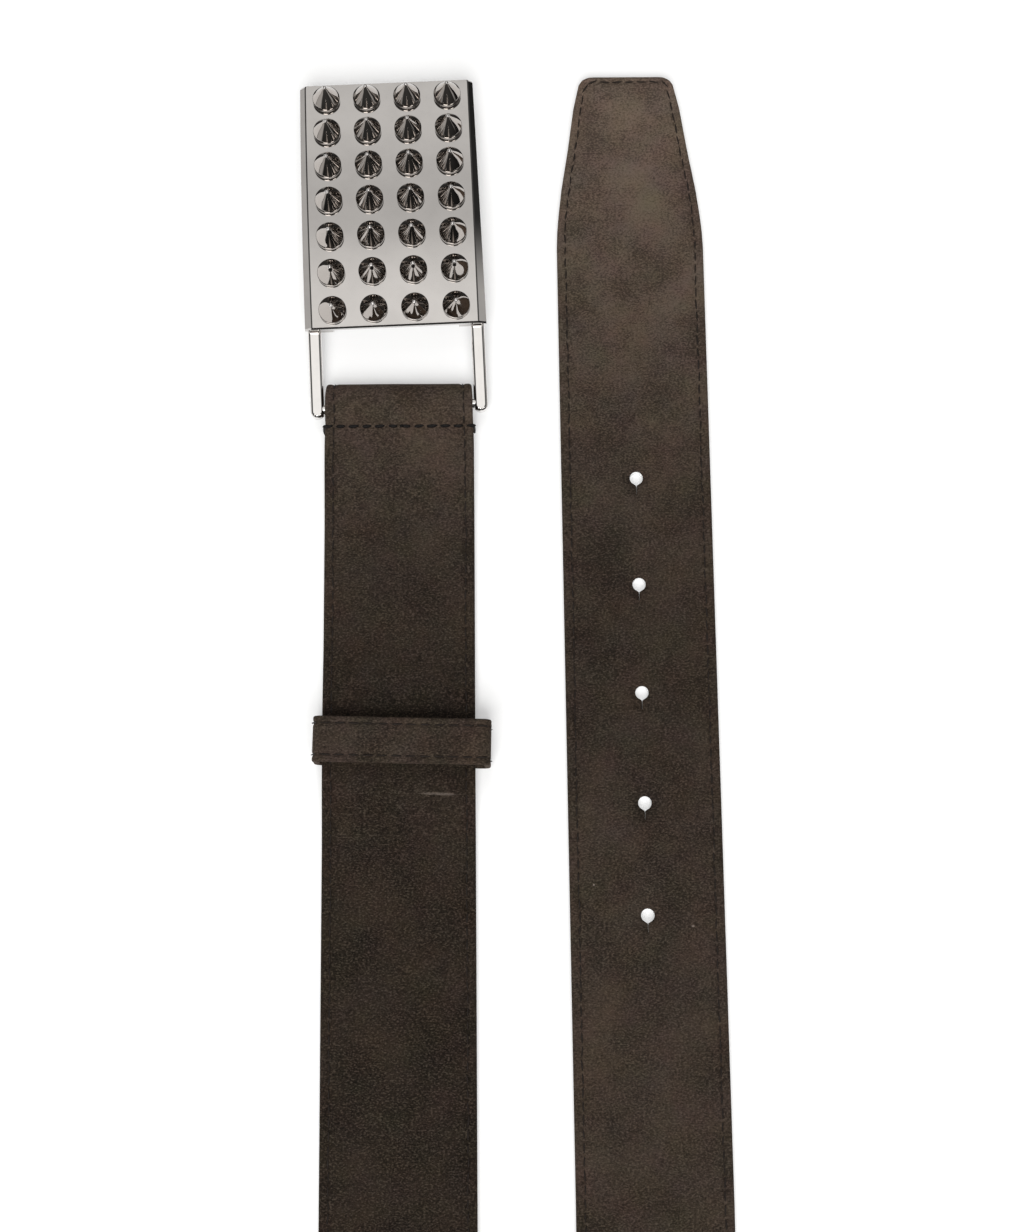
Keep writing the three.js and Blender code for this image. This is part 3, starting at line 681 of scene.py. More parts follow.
# %% Section of a band
def band_section(name, round_by, insets, shares):
    """Closed outline: for width and for thickness a share of the half, and millimetres more."""
    corner = [(1, -round_by + round_by * math.sin(a), 1, -round_by + round_by * math.cos(a))
              for a in np.linspace(0, math.pi / 2, 5)]
    top = [(s, 0, 1, 0) for s in shares] + [(1, -i, 1, 0) for i in insets] + corner
    low = [(a, b, -c, -d) for a, b, c, d in top[::-1]]
    left_low = [(-a, -b, c, d) for a, b, c, d in low[::-1][1:]]
    left_top = [(-a, -b, c, d) for a, b, c, d in top[::-1]]
    outline = top + low + left_low + left_top
    made = plain_mesh(name, [(0, 0, i * MM) for i in range(len(outline))])
    for i, label in enumerate(("side_share", "side_more", "high_share", "high_more")):
        scale = MM if label.endswith("more") else 1.0
        note(made, label, [p[i] * scale for p in outline])
    return made


strap_section = band_section("strap_section", EDGE_ROUND, insets=(3.4, 2.9, 2.6, 2.35, 2.1, 1.8, 1.3),
                             shares=(0, 0.25, 0.5, 0.7))
print("points in the section:", len(strap_section.data.vertices))

# %% Seam lines on both faces
SEAM_INSET, TIP_SEAM_INSET = 2.35, 1.8


def seam_points(start, sink, top=True):
    """Along one edge, round the tip and back along the other: places and directions out of the face."""
    tip = run[-1]
    ways = np.concatenate([np.arange(start, tip - 52, 1.0), np.arange(tip - 52, tip - TIP_SEAM_INSET, 0.7),
                           [tip - TIP_SEAM_INSET]])
    half = np.interp(ways, run, line[:, 5])
    inset = SEAM_INSET - 0.25 * smooth(tip - 60, tip - 40, ways)
    aside = half - inset
    end = np.linspace(1, -1, 29)[1:-1] * aside[-1]
    ways_all = np.concatenate([ways, np.full(len(end), ways[-1]), ways[::-1]])
    aside_all = np.concatenate([aside, end, -aside[::-1]])
    rng = np.random.default_rng(5)
    wander = np.convolve(rng.normal(0, 0.16, len(ways_all)), np.ones(5) / 5, "same")
    sign = 1 if top else -1
    high = sign * (np.interp(ways_all, run, line[:, 4]) - sink)
    points = on_strap(ways_all, aside_all + wander, high)
    out = sign * np.stack([np.interp(ways_all, run, face[:, i]) for i in range(3)], -1)
    return points, out


def seam_line(name, points, out):
    made = plain_mesh(name, points, edges=[(i, i + 1) for i in range(len(points) - 1)])
    note(made, "out", out, "FLOAT_VECTOR")
    return made


top_points, top_out = seam_points(1.5, 0.0)
low_points, low_out = seam_points(42.0, 0.0, top=False)
both = np.vstack([top_points, low_points])
cut = len(top_points)
edges = [(i, i + 1) for i in range(len(both) - 1) if i != cut - 1]
seam_guide = plain_mesh("seam_guide", both, edges=edges)
print("seam guide:", len(both), "points")

# %% Sweep the strap
strap_way = plain_mesh("strap_way", (place + np.array(BAR)) * MM)
note(strap_way, "across", across, "FLOAT_VECTOR")
note(strap_way, "face", face, "FLOAT_VECTOR")
for label, values in (("half_wide", line[:, 5] * MM), ("half_thick", line[:, 4] * MM),
                      ("squeeze", line[:, 7]), ("shrink", np.clip(line[:, 5] / 14, 0, 1)),
                      ("run", run * MM)):
    note(strap_way, label, values)
grow(strap_way, sweep_a_band, section=strap_section, seam=seam_guide, seam_width=0.55 * MM,
     seam_depth=0.28 * MM, waviness=0.10 * MM, seed=3.0, finish=suede)

# %% [markdown]
# ## Punched holes
# The five holes are punched through. Each is round, with a fine cut below it that lets the hook
# slip in. A dark dot would look right from above only, so each hole is cut with a real prism.

# %% Punch the holes
HOLE_D, HOLE_PITCH, FIRST_HOLE, HOLES = 3.5, 28.95, 114.8, 5
CUT_FROM, CUT_TO, PUNCH_FROM, PUNCH_TO = -HOLE_D / 2 - 0.30, -HOLE_D / 2 - 2.6, -2.0, 5.0


def punch_outline():
    ring = [(HOLE_D / 2 * math.cos(a), HOLE_D / 2 * math.sin(a))
            for a in np.linspace(math.radians(-66), math.radians(246), 32)]
    return ring + [(-0.07, CUT_FROM), (-0.03, CUT_TO), (0.03, CUT_TO), (0.07, CUT_FROM)]


def punches():
    points, faces = [], []
    outline = punch_outline()
    n = len(outline)
    for i in range(HOLES):
        y = TIP_AT - FIRST_HOLE - i * HOLE_PITCH
        first = len(points)
        for z in (PUNCH_FROM, PUNCH_TO):
            points += [((tip_leg_x(y) + a + BAR.x) * MM, (y + b + BAR.y) * MM, z * MM)
                       for a, b in outline]
        faces.append([first + j for j in range(n)][::-1])
        faces.append([first + n + j for j in range(n)])
        faces += [[first + j, first + (j + 1) % n, first + n + (j + 1) % n, first + n + j]
                  for j in range(n)]
    return plain_mesh("punches", points, faces)


punch = punches()
cutting = strap_way.modifiers.new("punch", "BOOLEAN")
cutting.operation, cutting.object, cutting.solver = "DIFFERENCE", punch, "EXACT"
strap = settle(strap_way, "suede_strap")
for helper in (punch, strap_section, seam_guide):
    bpy.data.objects.remove(helper)
low_corner, high_corner = np.array(strap.bound_box).min(0), np.array(strap.bound_box).max(0)
print("strap box in mm:", np.round(low_corner / MM, 2), np.round(high_corner / MM, 2))


# %% [markdown]
# ## Stitches
# A seam is one short piece of thread after another, each lying in the groove and diving into the
# leather at both ends. They repeat along a line, so Geometry Nodes place them: the line is cut to
# equal steps, and a small rounded bead stands at each, turned along the seam with a slight wander.

# %% The tree that sews
def stitch_tree():
    bench, given = new_tree("sew_a_seam", [
        ("Line", "Geometry", None), ("Pitch", "Float", 3.4 * MM), ("Stitch Length", "Float", 2.7 * MM),
        ("Thread Width", "Float", 0.5 * MM), ("Thread Height", "Float", 0.4 * MM), ("Wander", "Float", 0.12),
        ("Seed", "Int", 4), ("Finish", "Material", None)])
    curve = bench.node("GeometryNodeMeshToCurve", None, {"Mesh": given["Line"]})
    values = {"Curve": curve, "Length": given["Pitch"]}
    steps = bench.node("GeometryNodeResampleCurve", {"mode": "LENGTH"}, values)
    along = bench.node("GeometryNodeInputTangent")
    outward = bench.named("out")
    turned = bench.node("FunctionNodeAxesToRotation", {"primary_axis": "Z", "secondary_axis": "X"},
                        {"Primary Axis": outward, "Secondary Axis": along})

    def chance(low, high, more):
        return bench.node("FunctionNodeRandomValue", {"data_type": "FLOAT"},
                          {2: low, 3: high, 8: given["Seed"] + more}, 1)

    sway = bench.node("ShaderNodeCombineXYZ", None, {"Z": chance(-1.0, 1.0, 1.0) * given["Wander"]})
    swayed = bench.node("FunctionNodeEulerToRotation", None, {0: sway})
    turned = bench.node("FunctionNodeRotateRotation", {"rotation_space": "LOCAL"}, {0: turned, 1: swayed})
    length = given["Stitch Length"] * chance(0.86, 1.08, 2.0)
    width = given["Thread Width"] / 2 * chance(0.85, 1.15, 3.0)
    size = bench.node("ShaderNodeCombineXYZ", None, {
        "X": length / 2, "Y": width, "Z": given["Thread Height"] / 2})
    bead = bench.node("GeometryNodeMeshUVSphere", None, {"Segments": 7, "Rings": 5, "Radius": 1.0}, "Mesh")
    bead = bench.node("GeometryNodeTransform", None, {"Geometry": bead, "Rotation": (0, math.pi / 2, 0)})
    row = bench.node("GeometryNodeInstanceOnPoints", None,
                     {"Points": steps, "Instance": bead, "Rotation": turned, "Scale": size})
    return end_tree(bench, row, given["Finish"])


sew_a_seam = stitch_tree()

# %% Sew both edges, on both faces
STITCH_SINK = 0.17


def sew_edges(name, points, out, seed):
    seam = seam_line(name + "_line", points - out * STITCH_SINK * MM, out)
    grow(seam, sew_a_seam, pitch=3.4 * MM, stitch_length=2.8 * MM, thread_width=0.46 * MM,
         thread_height=0.40 * MM, seed=seed, finish=thread)
    return settle(seam, name)


edge_stitches = sew_edges("edge_stitches", top_points, top_out, 4)
back_stitches = sew_edges("back_stitches", low_points, low_out, 9)

# %% [markdown]
# ## The cross seam under the fold
# Just below the bar the two plies are sewn together with a heavier black thread, and its ends are
# wrapped round both edges of the strap. The wraps are small bent cords, one at each edge, and a
# third stands up a little as a knot near the middle.

# %% Cross seam and its wrapped ends
UNDER_PLY = 3.5  # lower than this, a station near the seam belongs to the ply beneath
off_seam = np.abs(line[:, 1] + SEAM_DOWN)
seam_way = run[np.argmin(off_seam + 100 * (line[:, 2] < UNDER_PLY) + 100 * (line[:, 6] > 0))]


def cord(name, points, thick, finish):
    """A round thread through the points, tapered to its ends."""
    curve = bpy.data.curves.new(name, "CURVE")
    curve.dimensions = "3D"
    spline = curve.splines.new("NURBS")
    spline.points.add(len(points) - 1)
    for i, p in enumerate(points):
        spline.points[i].co = (*p, 1)
        spline.points[i].radius = 0.75 if i in (0, len(points) - 1) else 1.0
    spline.use_endpoint_u = True
    curve.bevel_depth, curve.bevel_resolution, curve.use_fill_caps = thick / 2, 2, True
    curve.resolution_u = 6
    made = bpy.data.objects.new(name, curve)
    bpy.context.scene.collection.objects.link(made)
    made.data.materials.append(finish)
    return settle(made, name)


half_here = float(np.interp(seam_way, run, line[:, 5]))
thick_here = float(np.interp(seam_way, run, line[:, 4]))
SEAM_POINTS = 60
sides = np.linspace(-half_here + 0.7, half_here - 0.5, SEAM_POINTS)
rng = np.random.default_rng(11)
ways = seam_way + np.convolve(rng.normal(0, 0.22, SEAM_POINTS), np.ones(7) / 7, "same")
cross_points = on_strap(ways, sides, np.full(SEAM_POINTS, thick_here + 0.02))
cross_out = np.tile(np.interp(seam_way, run, face[:, 2]) * np.array([0, 0, 1.0]), (SEAM_POINTS, 1))
cross_line = seam_line("cross_line", cross_points, cross_out)
grow(cross_line, sew_a_seam, pitch=3.42 * MM, stitch_length=2.8 * MM, thread_width=1.2 * MM,
     thread_height=0.7 * MM, wander=0.16, seed=2, finish=heavy_thread)
cross_stitches = settle(cross_line, "cross_stitches")


def wrap(name, side, tail):
    """The thread's end round one edge of both plies, with a short tail."""
    outline = [(half_here - 1.6, thick_here - 0.1), (half_here - 0.4, thick_here + 0.25),
               (half_here + 0.22, thick_here - 0.3), (half_here + 0.35, -0.6), (half_here + 0.3, -2.2)]
    ways = [seam_way + s for s in (0.0, 0.1, 0.35, 0.9, 1.3)]
    points = on_strap(ways, [side * a for a, _ in outline], [h for _, h in outline])
    if tail:
        end = points[-1]
        points = np.vstack([points, [end + np.array([-side * 0.5, -0.7, -0.3]) * MM],
                            [end + np.array([-side * 0.3, -1.7, -0.2]) * MM]])
    return cord(name, points, 0.75 * MM, heavy_thread)


wraps = [wrap("wrap_left", 1, False), wrap("wrap_right", -1, True)]
knot = on_strap([seam_way + s for s in (-0.7, -0.2, 0.3)], [0.9, 0.6, 0.4],
                [thick_here + h for h in (0.0, 0.3, 0.0)])
wraps.append(cord("seam_knot", knot, 0.9 * MM, heavy_thread))
print("cross seam at", round(seam_way, 1), "mm along the strap")

# %% [markdown]
# ## The keeper
# The keeper is a loose band of the same suede round the strap, sewn along both of its edges. It is
# a band swept round a rounded oblong, so the same tree makes it. Its top sags a little in the
# middle, as a soft band does.

# %% Keeper band
KEEPER_INNER, KEEPER_TALL, KEEPER_SHIFT, KEEPER_SKEW = (43.3, 8.2), 11.4, 1.05, -1.6
KEEPER_SEAM = 1.85
KEEPER_RUN = 0.62  # metres, so that the suede is as dark as in the middle of the strap


def keeper_loop():
    """Places round the keeper's wall in its own plane, and the directions out of it."""
    width, height = KEEPER_INNER[0] + KEEPER_WALL, KEEPER_INNER[1] + KEEPER_WALL
    radius = 2.6 - KEEPER_WALL / 2
    w, h = width / 2 - radius, height / 2 - radius
    places, outs = [], []

    def arc(cx, cz, start):
        for a in np.linspace(start, start + math.pi / 2, 9):
            places.append((cx + radius * math.cos(a), cz + radius * math.sin(a)))
            outs.append((math.cos(a), math.sin(a)))

    def straight(a, b, out, steps):
        for s in np.linspace(0, 1, steps)[1:-1]:
            places.append((a[0] + (b[0] - a[0]) * s, a[1] + (b[1] - a[1]) * s))
            outs.append(out)

    arc(w, h, 0)
    straight((w, h + radius), (-w, h + radius), (0, 1), 40)
    arc(-w, h, math.pi / 2)
    straight((-w - radius, h), (-w - radius, -h), (-1, 0), 7)
    arc(-w, -h, math.pi)
    straight((-w, -h - radius), (w, -h - radius), (0, -1), 40)
    arc(w, -h, 1.5 * math.pi)
    straight((w + radius, -h), (w + radius, h), (1, 0), 7)
    places.append(places[0])
    outs.append(outs[0])
    return np.array(places), np.array(outs)


loop, loop_out = keeper_loop()
sag = 0.45 * np.exp(-(loop[:, 0] / 13) ** 2) * (loop[:, 1] > 3)
bow = 0.25 * np.cos(np.clip(loop[:, 1] / 5.0, -1, 1) * math.pi / 2) * (np.abs(loop[:, 0]) > 20)
turn = np.array(Matrix.Rotation(math.radians(KEEPER_SKEW), 3, "Z"))


def in_keeper(points):
    """From the keeper's own place to the belt's frame, in metres."""
    centre = np.array([KEEPER_SHIFT, -KEEPER_AT, KEEPER_TALL / 2]) + np.array(BAR)
    return (np.asarray(points) @ turn.T + centre) * MM


wall_line = np.stack([loop[:, 0] - np.sign(loop[:, 0]) * bow, 0 * bow, loop[:, 1] - sag], 1)
wall_out = np.stack([loop_out[:, 0], 0 * sag, loop_out[:, 1]], 1)
keeper_way = plain_mesh("keeper_way", in_keeper(wall_line))
count = len(wall_line)
note(keeper_way, "across", np.tile(np.array([0, -1.0, 0]) @ turn.T, (count, 1)), "FLOAT_VECTOR")
note(keeper_way, "face", wall_out @ turn.T, "FLOAT_VECTOR")
loop_run = np.concatenate([[0], np.cumsum(np.linalg.norm(np.diff(wall_line, axis=0), axis=1))])
for label, values in (("half_wide", np.full(count, KEEPER_LONG / 2 * MM)),
                      ("half_thick", np.full(count, KEEPER_WALL / 2 * MM)), ("squeeze", np.ones(count)),
                      ("shrink", np.ones(count)), ("run", loop_run * MM + KEEPER_RUN)):
    note(keeper_way, label, values)
keeper_section = band_section("keeper_section", 0.5, (2.5, 2.1, 1.85, 1.6, 1.2, 0.8), (0, 0.3, 0.5))
seams = []
for side in (-1, 1):
    aside = np.array([[0, side * (KEEPER_LONG / 2 - KEEPER_SEAM), 0]])
    seams.append(in_keeper(wall_line + aside + wall_out * KEEPER_WALL / 2))
keeper_guide = plain_mesh("keeper_guide", np.vstack(seams),
                          edges=[(i, i + 1) for i in range(2 * count - 1) if i != count - 1])
grow(keeper_way, sweep_a_band, section=keeper_section, seam=keeper_guide, seam_width=0.5 * MM,
     seam_depth=0.25 * MM, waviness=0.16 * MM, seed=8.0, finish=suede)
keeper = settle(keeper_way, "suede_keeper")
for helper in (keeper_section, keeper_guide):
    bpy.data.objects.remove(helper)

# %% Keeper stitches
out_here = wall_out @ turn.T
sewn = []
for name, points, seed in (("keeper_stitches_low", seams[0], 21), ("keeper_stitches_high", seams[1], 33)):
    seam = seam_line(name + "_line", points - out_here * 0.12 * MM, out_here)
    grow(seam, sew_a_seam, pitch=3.65 * MM, stitch_length=3.0 * MM, thread_width=0.45 * MM,
         thread_height=0.40 * MM, wander=0.08, seed=seed, finish=thread)
    sewn.append(settle(seam, name))

# %% [markdown]
# ## The buckle's place
# The buckle hangs on the bail by two small pins. Its plate is part of a large cylinder, it leans a
# little on its hook, and the whole buckle lies slightly turned on its bar. The lean is searched
# until the plate is as high as the solid one. One matrix holds all of it, so that each piece
# below is made straight, about its hinge, and then set in its place.

# %% Where the buckle lies
HINGE_FROM_BAR, HINGE_HIGH, BUCKLE_SKEW = 22.5, 5.9, 2.26
PLATE_LONG, PLATE_RADIUS, PLATE_THICK, PLATE_WIDE = 70.9, 228.0, 2.0, 48.4
OVERHANG, PLATE_UP = 2.1, 2.3


def on_plate(distance):
    """Height and place of the plate's top at a distance from its lower edge, and its lean."""
    angle = (distance - PLATE_LONG / 2) / PLATE_RADIUS
    half = PLATE_LONG / 2 / PLATE_RADIUS
    y = PLATE_RADIUS * (math.sin(angle) + math.sin(half)) - OVERHANG
    z = PLATE_RADIUS * (math.cos(angle) - math.cos(half)) + PLATE_UP + PLATE_THICK
    return y, z, angle


plate_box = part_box("buckle_plate")


def crown_height(turn):
    """The highest place of the plate's top when it leans by turn."""
    heights = []
    for distance in np.linspace(0, PLATE_LONG, 200):
        y, z, _ = on_plate(distance)
        heights.append(HINGE_HIGH + y * math.sin(turn) + z * math.cos(turn))
    return max(heights)


turns = np.linspace(-0.15, 0.1, 501)
rest_turn = turns[np.argmin([abs(crown_height(t) - plate_box[1].z / MM) for t in turns])]
skew = Matrix.Rotation(math.radians(BUCKLE_SKEW), 4, "Z")
bail_place = Matrix.Translation(BAR * MM) @ skew
hinge_place = bail_place @ Matrix.Translation(Vector((0, HINGE_FROM_BAR, HINGE_HIGH)) * MM)
buckle_place = hinge_place @ Matrix.Rotation(rest_turn, 4, "X")
print("the buckle leans by", round(math.degrees(rest_turn), 2), "degrees")

# %% [markdown]
# ## The plate
# The plate is a strip of thick metal bent to a gentle arc, with a wide bevel along each side and
# small rounds on every corner. Its section is carried along the arc, and a Bevel modifier rounds
# what is sharp, because the bright and dark lines of a polished edge come from those rounds.

# %% Carry the plate's section along its arc
FACET_WIDE, FACET_DEEP, BEVEL_SLOPE, LOW_CHAMFER, END_ROUND = 0.38, 0.09, 0.72, 0.34, 0.7
LUG_OUT, LUG_THICK, LUG_RADIUS, LUG_BORE, LUG_FRONT = 20.0, 3.0, 1.9, 1.05, -1.32


def plate_mesh():
    """Rows of eight section points from the lower edge to the upper one."""
    face_half = PLATE_WIDE / 2 - 1.7
    points, faces = [], []
    distances = np.concatenate([[0], np.linspace(0.46, PLATE_LONG - 0.9, 72),
                                PLATE_LONG - END_ROUND * (1 - np.sin(np.linspace(0.25, math.pi / 2, 7)))])
    for distance in distances:
        y, z, angle = on_plate(distance)
        to_end = min((PLATE_LONG - distance) / END_ROUND, 1.0)
        cut = END_ROUND * (1.0 - math.sqrt(max(1 - (1 - to_end) ** 2, 0)))
        share = distance / PLATE_LONG
        left = face_half + 1.75 - 0.45 * share - cut
        right = face_half + 1.90 - 0.75 * share - cut
        top = face_half - 0.4 * cut
        low_left = -FACET_DEEP - BEVEL_SLOPE * (left - top)
        low_right = -FACET_DEEP - BEVEL_SLOPE * (right - top)
        section = [(-left, -PLATE_THICK), (right, -PLATE_THICK), (right, low_right), (top, -FACET_DEEP),
                   (top - FACET_WIDE, 0), (FACET_WIDE - top, 0), (-top, -FACET_DEEP), (-left, low_left)]
        drop = LOW_CHAMFER if distance == 0 else 0.0
        section = [(x, up - drop if up > -PLATE_THICK else up) for x, up in section]
        for x, up in section:
            points.append((x * MM, (y + up * math.sin(angle)) * MM, (z + up * math.cos(angle)) * MM))
    rows = len(distances)
    for i in range(rows - 1):
        for j in range(8):
            k = (j + 1) % 8
            faces.append((i * 8 + j, i * 8 + k, (i + 1) * 8 + k, (i + 1) * 8 + j))
    faces.append(tuple(range(8))[::-1])
    faces.append(tuple((rows - 1) * 8 + j for j in range(8)))
    return points, faces


def lug_mesh(side, first):
    """A tongue under the plate with the bore for the bail's pin; it is also a foot."""
    radius, bore, top = LUG_RADIUS, LUG_BORE, PLATE_UP + 1.0
    foot = 0.05 + radius - HINGE_HIGH
    angles = np.linspace(math.pi, 2 * math.pi, 17)
    back = 1.9  # the foot stands behind the pin, hidden by the plate's edge
    outer = [(LUG_FRONT, top), (LUG_FRONT, -0.35)]
    outer += [(radius * 0.9 * math.cos(a) + back, foot + radius * math.sin(a)) for a in angles]
    outer += [(radius * 0.9 + back, top)]
    n = len(outer)
    inner = [(bore * math.cos(a), bore * math.sin(a)) for a in
             [math.atan2(z, y) for y, z in outer]]
    points, faces = [], []
    for x in (side * (LUG_OUT - LUG_THICK), side * LUG_OUT):
        points += [(x * MM, y * MM, z * MM) for y, z in outer]
        points += [(x * MM, y * MM, z * MM) for y, z in inner]
    for j in range(n):
        k = (j + 1) % n
        faces.append((first + j, first + k, first + n + k, first + n + j))
        faces.append((first + 2 * n + k, first + 2 * n + j, first + 3 * n + j, first + 3 * n + k))
        faces.append((first + k, first + j, first + 2 * n + j, first + 2 * n + k))
        faces.append((first + n + j, first + n + k, first + 3 * n + k, first + 3 * n + j))
    return points, faces


points, faces = plate_mesh()
for side in (-1, 1):
    more, more_faces = lug_mesh(side, len(points))
    points, faces = points + more, faces + more_faces
plate = plain_mesh("plate_raw", points, faces)


def right_way_out(thing, crease=None):
    """Merges doubles, turns every face outwards, and keeps shallow creases sharp."""
    work = bmesh.new()
    work.from_mesh(thing.data)
    bmesh.ops.remove_doubles(work, verts=work.verts, dist=1e-6)
    bmesh.ops.recalc_face_normals(work, faces=work.faces)
    if crease:
        for edge in work.edges:
            sharp = edge.is_manifold and crease[0] < math.degrees(edge.calc_face_angle()) < crease[1]
            edge.smooth = not sharp
    work.to_mesh(thing.data)
    work.free()


def round_edges(thing, width, segments=3, angle=24):
    bevel = thing.modifiers.new("rounds", "BEVEL")
    bevel.width, bevel.segments, bevel.limit_method = width, segments, "ANGLE"
    bevel.angle_limit = math.radians(angle)
    bevel.harden_normals = True
    for polygon in thing.data.polygons:
        polygon.use_smooth = True


right_way_out(plate, crease=(9, 26))
round_edges(plate, 0.30 * MM, 4, 28)
plate.data.materials.append(gunmetal)
plate = settle(plate, "polished_plate")
plate.data.transform(buckle_place)

# %% [markdown]
# ## The bail
# The bail is a bar inside the fold with a flat arm at each end. The arms rise to small knuckles
# under the plate, and their pins turn in the plate's lugs. Each arm is a rounded tongue drawn in
# plan and given a thickness.

# %% Arms, bar and pins
ARM_INNER, ARM_WIDE, ARM_THICK, ARM_PAST = 20.1, 3.7, 3.2, 2.5
KNUCKLE_IN, KNUCKLE_OUT, KNUCKLE_D = 20.3, 23.9, 4.0
PIN_OUT, PIN_IN, PIN_D, BAR_HALF = 22.0, 17.1, 1.8, 22.1


def prism_faces(first, n):
    """Faces of a prism whose two ends have n points each, counted on from first."""
    faces = [[first + j for j in range(n)], [first + n + j for j in range(n)][::-1]]
    return faces + [[first + j, first + n + j, first + n + (j + 1) % n, first + (j + 1) % n]
                    for j in range(n)]


def arm(side, first):
    """A flat arm with a rounded end past the bar, which rises to the hinge."""
    half = ARM_WIDE / 2
    plan = [(half, HINGE_FROM_BAR), (-half, HINGE_FROM_BAR), (-half, 0.0)]
    plan += [(half * math.cos(a), half - ARM_PAST + half * math.sin(a))
             for a in np.linspace(math.pi, 2 * math.pi, 19)]
    plan += [(half, 0.0)]
    middle = side * (ARM_INNER + half)
    n, points = len(plan), []
    for up in (-ARM_THICK / 2, ARM_THICK / 2):
        for x, y in plan:
            rise = (HINGE_HIGH - BAR_HEIGHT) * min(max(y / HINGE_FROM_BAR, 0), 1)
            points.append(((middle + x) * MM, y * MM, (BAR_HEIGHT + rise + up) * MM))
    return points, prism_faces(first, n)


def rod(x0, x1, diameter, y, z, first, sides=28):
    """A round bar from x0 to x1."""
    points = []
    for x in (x0, x1):
        points += [(x * MM, (y + diameter / 2 * math.cos(a)) * MM, (z + diameter / 2 * math.sin(a)) * MM)
                   for a in np.linspace(0, 2 * math.pi, sides, endpoint=False)]
    return points, prism_faces(first, sides)


points, faces = [], []
at_hinge, makers = (HINGE_FROM_BAR, HINGE_HIGH), []
for side in (-1, 1):
    makers += [(arm, (side,)), (rod, (side * KNUCKLE_IN, side * KNUCKLE_OUT, KNUCKLE_D, *at_hinge)),
               (rod, (side * PIN_OUT, side * PIN_IN, PIN_D, *at_hinge))]
makers.append((rod, (-BAR_HALF, BAR_HALF, BAR_D, 0, BAR_HEIGHT)))
for maker, sizes in makers:
    more, more_faces = maker(*sizes, len(points))
    points, faces = points + more, faces + more_faces
bail = plain_mesh("bail_raw", points, faces)
right_way_out(bail)
round_edges(bail, 0.85 * MM, 5)
bail.data.materials.append(bail_metal_painted_light)
bail = settle(bail, "polished_bail")
bail.data.transform(bail_place)

# %% [markdown]
# ## Studs
# Twenty-eight cone studs stand in seven rows of four, square to the plate's arc. Each is a turned
# cone on a low collar with a tiny ball at its point. They repeat by a rule, so Geometry Nodes set
# one turned stud at each place of the grid and lean it with the plate.

# %% One turned stud
STUD_HIGH, BALL_FROM = 6.5, 5.88


def turned_stud(segments=72):
    """One stud at the origin; its ball has the attribute tip, for the painted highlight and the rougher metal.
    """
    shoulder = [(2.9 + 0.8 * math.cos(a), 1.18 + 0.8 * math.sin(a)) for a in np.radians([0, 9, 18, 28, 37])]
    ball = [(0.42, 5.91), (0.54, 6.02), (0.58, 6.16), (0.54, 6.31), (0.44, 6.42), (0.34, 6.465),
            (0.17, 6.49)]
    profile = [(0, 0), (3.64, 0), (3.7, 0.06), *shoulder, (2.3, 3.30), (1.2, 4.76), (0.46, 5.74),
               (0.36, 5.84), *ball, (0, STUD_HIGH)]
    points, faces = [(0, 0, 0)], []
    for r, h in profile[1:-1]:
        points += [(r * math.cos(a) * MM, r * math.sin(a) * MM, h * MM)
                   for a in np.linspace(0, 2 * math.pi, segments, endpoint=False)]
    points.append((0, 0, STUD_HIGH * MM))
    rings = len(profile) - 2
    for j in range(segments):
        k = (j + 1) % segments
        faces.append((0, 1 + k, 1 + j))
        for i in range(rings - 1):
            a, b = 1 + i * segments, 1 + (i + 1) * segments
            faces.append((a + j, a + k, b + k, b + j))
        last = 1 + (rings - 1) * segments
        faces.append((last + j, last + k, len(points) - 1))
    made = plain_mesh("one_stud", points, faces)
    note(made, "tip", [1.0 if p[2] > BALL_FROM * MM else 0.0 for p in points])
    return made


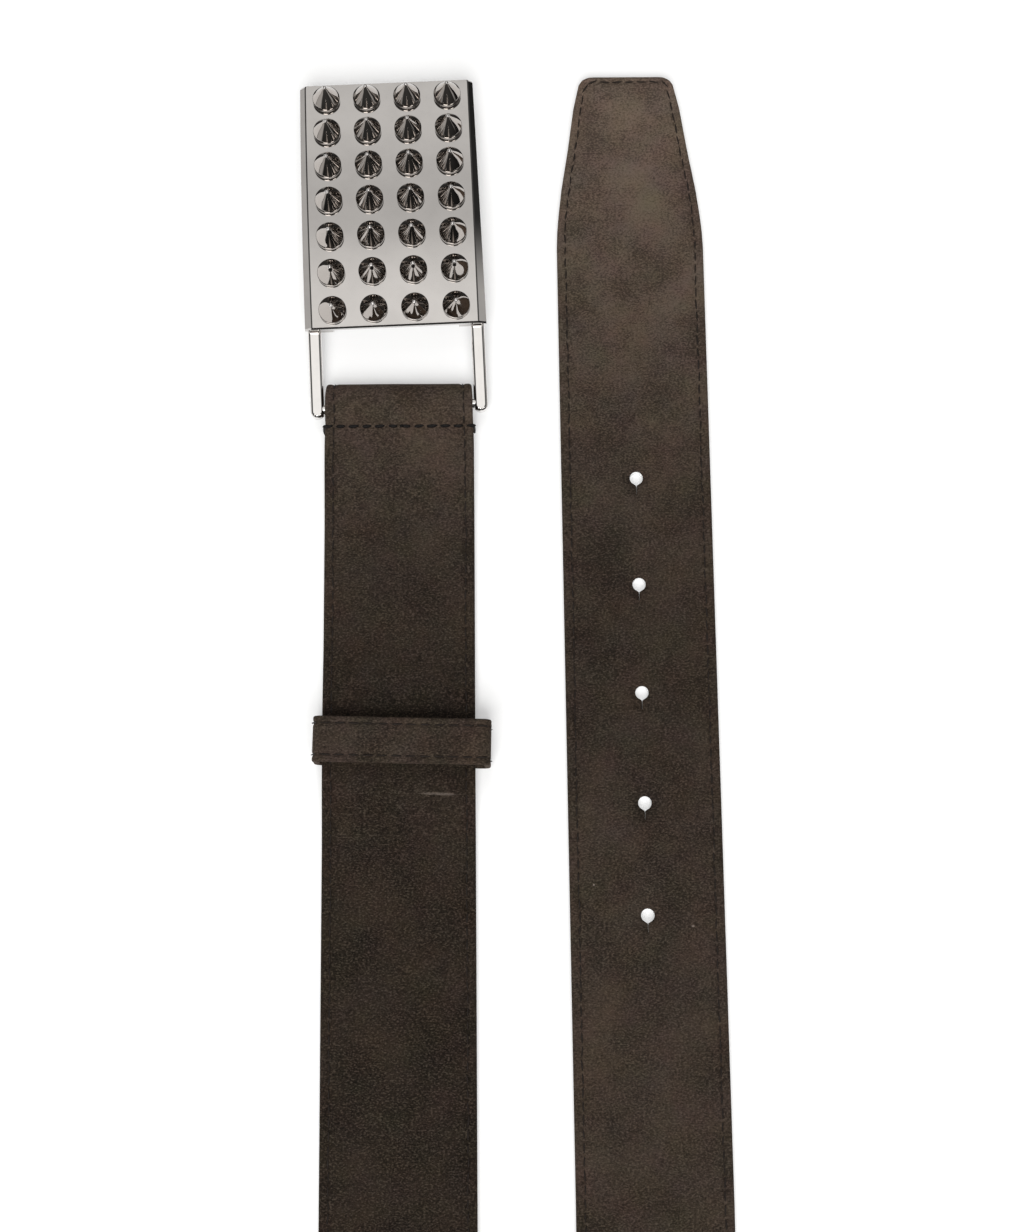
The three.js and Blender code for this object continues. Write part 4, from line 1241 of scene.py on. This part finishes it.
# %% The tree that sets the studs
def stud_tree():
    bench, given = new_tree("set_the_studs", [
        ("Geometry", "Geometry", None), ("Rows", "Int", 7), ("Columns", "Int", 4),
        ("Row Pitch", "Float", 10.18 * MM), ("Column Pitch", "Float", 11.03 * MM),
        ("Edge", "Float", 4.9 * MM), ("Radius", "Float", PLATE_RADIUS * MM),
        ("Length", "Float", PLATE_LONG * MM), ("Sink", "Float", 0.03 * MM), ("Finish", "Material", None)])
    total = given["Rows"] * given["Columns"]
    spots = bench.node("GeometryNodePoints", None, {"Count": total})
    index = bench.node("GeometryNodeInputIndex")
    row = (index + 0.5) / given["Columns"]
    row = row.sum_of("FLOOR", row)
    column = index - row * given["Columns"]
    distance = given["Edge"] + row * given["Row Pitch"]
    angle = (distance - given["Length"] / 2) / given["Radius"]
    sine, cosine = angle.sum_of("SINE", angle), angle.sum_of("COSINE", angle)
    half = given["Length"] / 2 / given["Radius"]
    stand = given["Radius"] - given["Sink"]
    x = (column - (given["Columns"] - 1) / 2) * given["Column Pitch"]
    y = stand * sine + given["Radius"] * half.sum_of("SINE", half) - OVERHANG * MM
    z = stand * cosine - given["Radius"] * half.sum_of("COSINE", half) + (PLATE_UP + PLATE_THICK) * MM
    spot = bench.node("ShaderNodeCombineXYZ", None, {"X": x, "Y": y, "Z": z})
    spots = bench.node("GeometryNodeSetPosition", None, {"Geometry": spots, "Position": spot})
    lean = bench.node("ShaderNodeCombineXYZ", None, {"X": angle * -1.0})
    lean = bench.node("FunctionNodeEulerToRotation", None, {0: lean})
    studs = bench.node("GeometryNodeInstanceOnPoints", None,
                       {"Points": spots, "Instance": given["Geometry"], "Rotation": lean})
    return end_tree(bench, studs, given["Finish"])


set_the_studs = stud_tree()
one_stud = turned_stud()
grow(one_stud, set_the_studs, finish=stud_metal_painted_shade)
studs = settle(one_stud, "cone_studs")
studs.data.transform(buckle_place)
mine = np.array([v.co for v in studs.data.vertices])
print("studs reach in mm:", np.round(mine.min(0) / MM, 2), np.round(mine.max(0) / MM, 2))

# %% [markdown]
# ## Riding, and the solids that are hidden
# Leather pieces ride on the strap, the bail on its own body, and the plate with its studs on the
# buckle. The solids that they replace stay for collisions but aren't shown.

# %% Ride on the bodies
def keep_off_table(thing):
    """Nothing sinks into the table: what would, lies flat on it."""
    places = np.empty(len(thing.data.vertices) * 3)
    thing.data.vertices.foreach_get("co", places)
    places[2::3] = np.maximum(places[2::3], 0.0)
    thing.data.vertices.foreach_set("co", places)


for piece in (strap, edge_stitches, back_stitches, keeper, *sewn, plate):
    keep_off_table(piece)
for piece in (strap, edge_stitches, back_stitches, cross_stitches, *wraps, keeper, *sewn):
    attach(piece, "strap")
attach(bail, "bail")
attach(plate, "buckle")
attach(studs, "buckle")
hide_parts("strap")
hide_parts("keeper")
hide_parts("bail")
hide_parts("buckle_plate")
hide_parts(*[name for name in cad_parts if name.startswith("stud_")])
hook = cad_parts["hook"]
hook.data.materials.clear()
hook.data.materials.append(gunmetal)

# %% [markdown]
# ## Sizes
# Both boxes, of the looks and of the solids, are printed side by side. The looks may
# not outgrow the solids.

# %% Print the sizes and finish
low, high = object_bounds()
sizes = {"cad": [list(cad_low), list(cad_high)], "visual": [list(low), list(high)]}
print("visual box in mm:", [round(c / MM, 2) for c in low], [round(c / MM, 2) for c in high])
print("cad box in mm:", [round(c / MM, 2) for c in cad_low], [round(c / MM, 2) for c in cad_high])
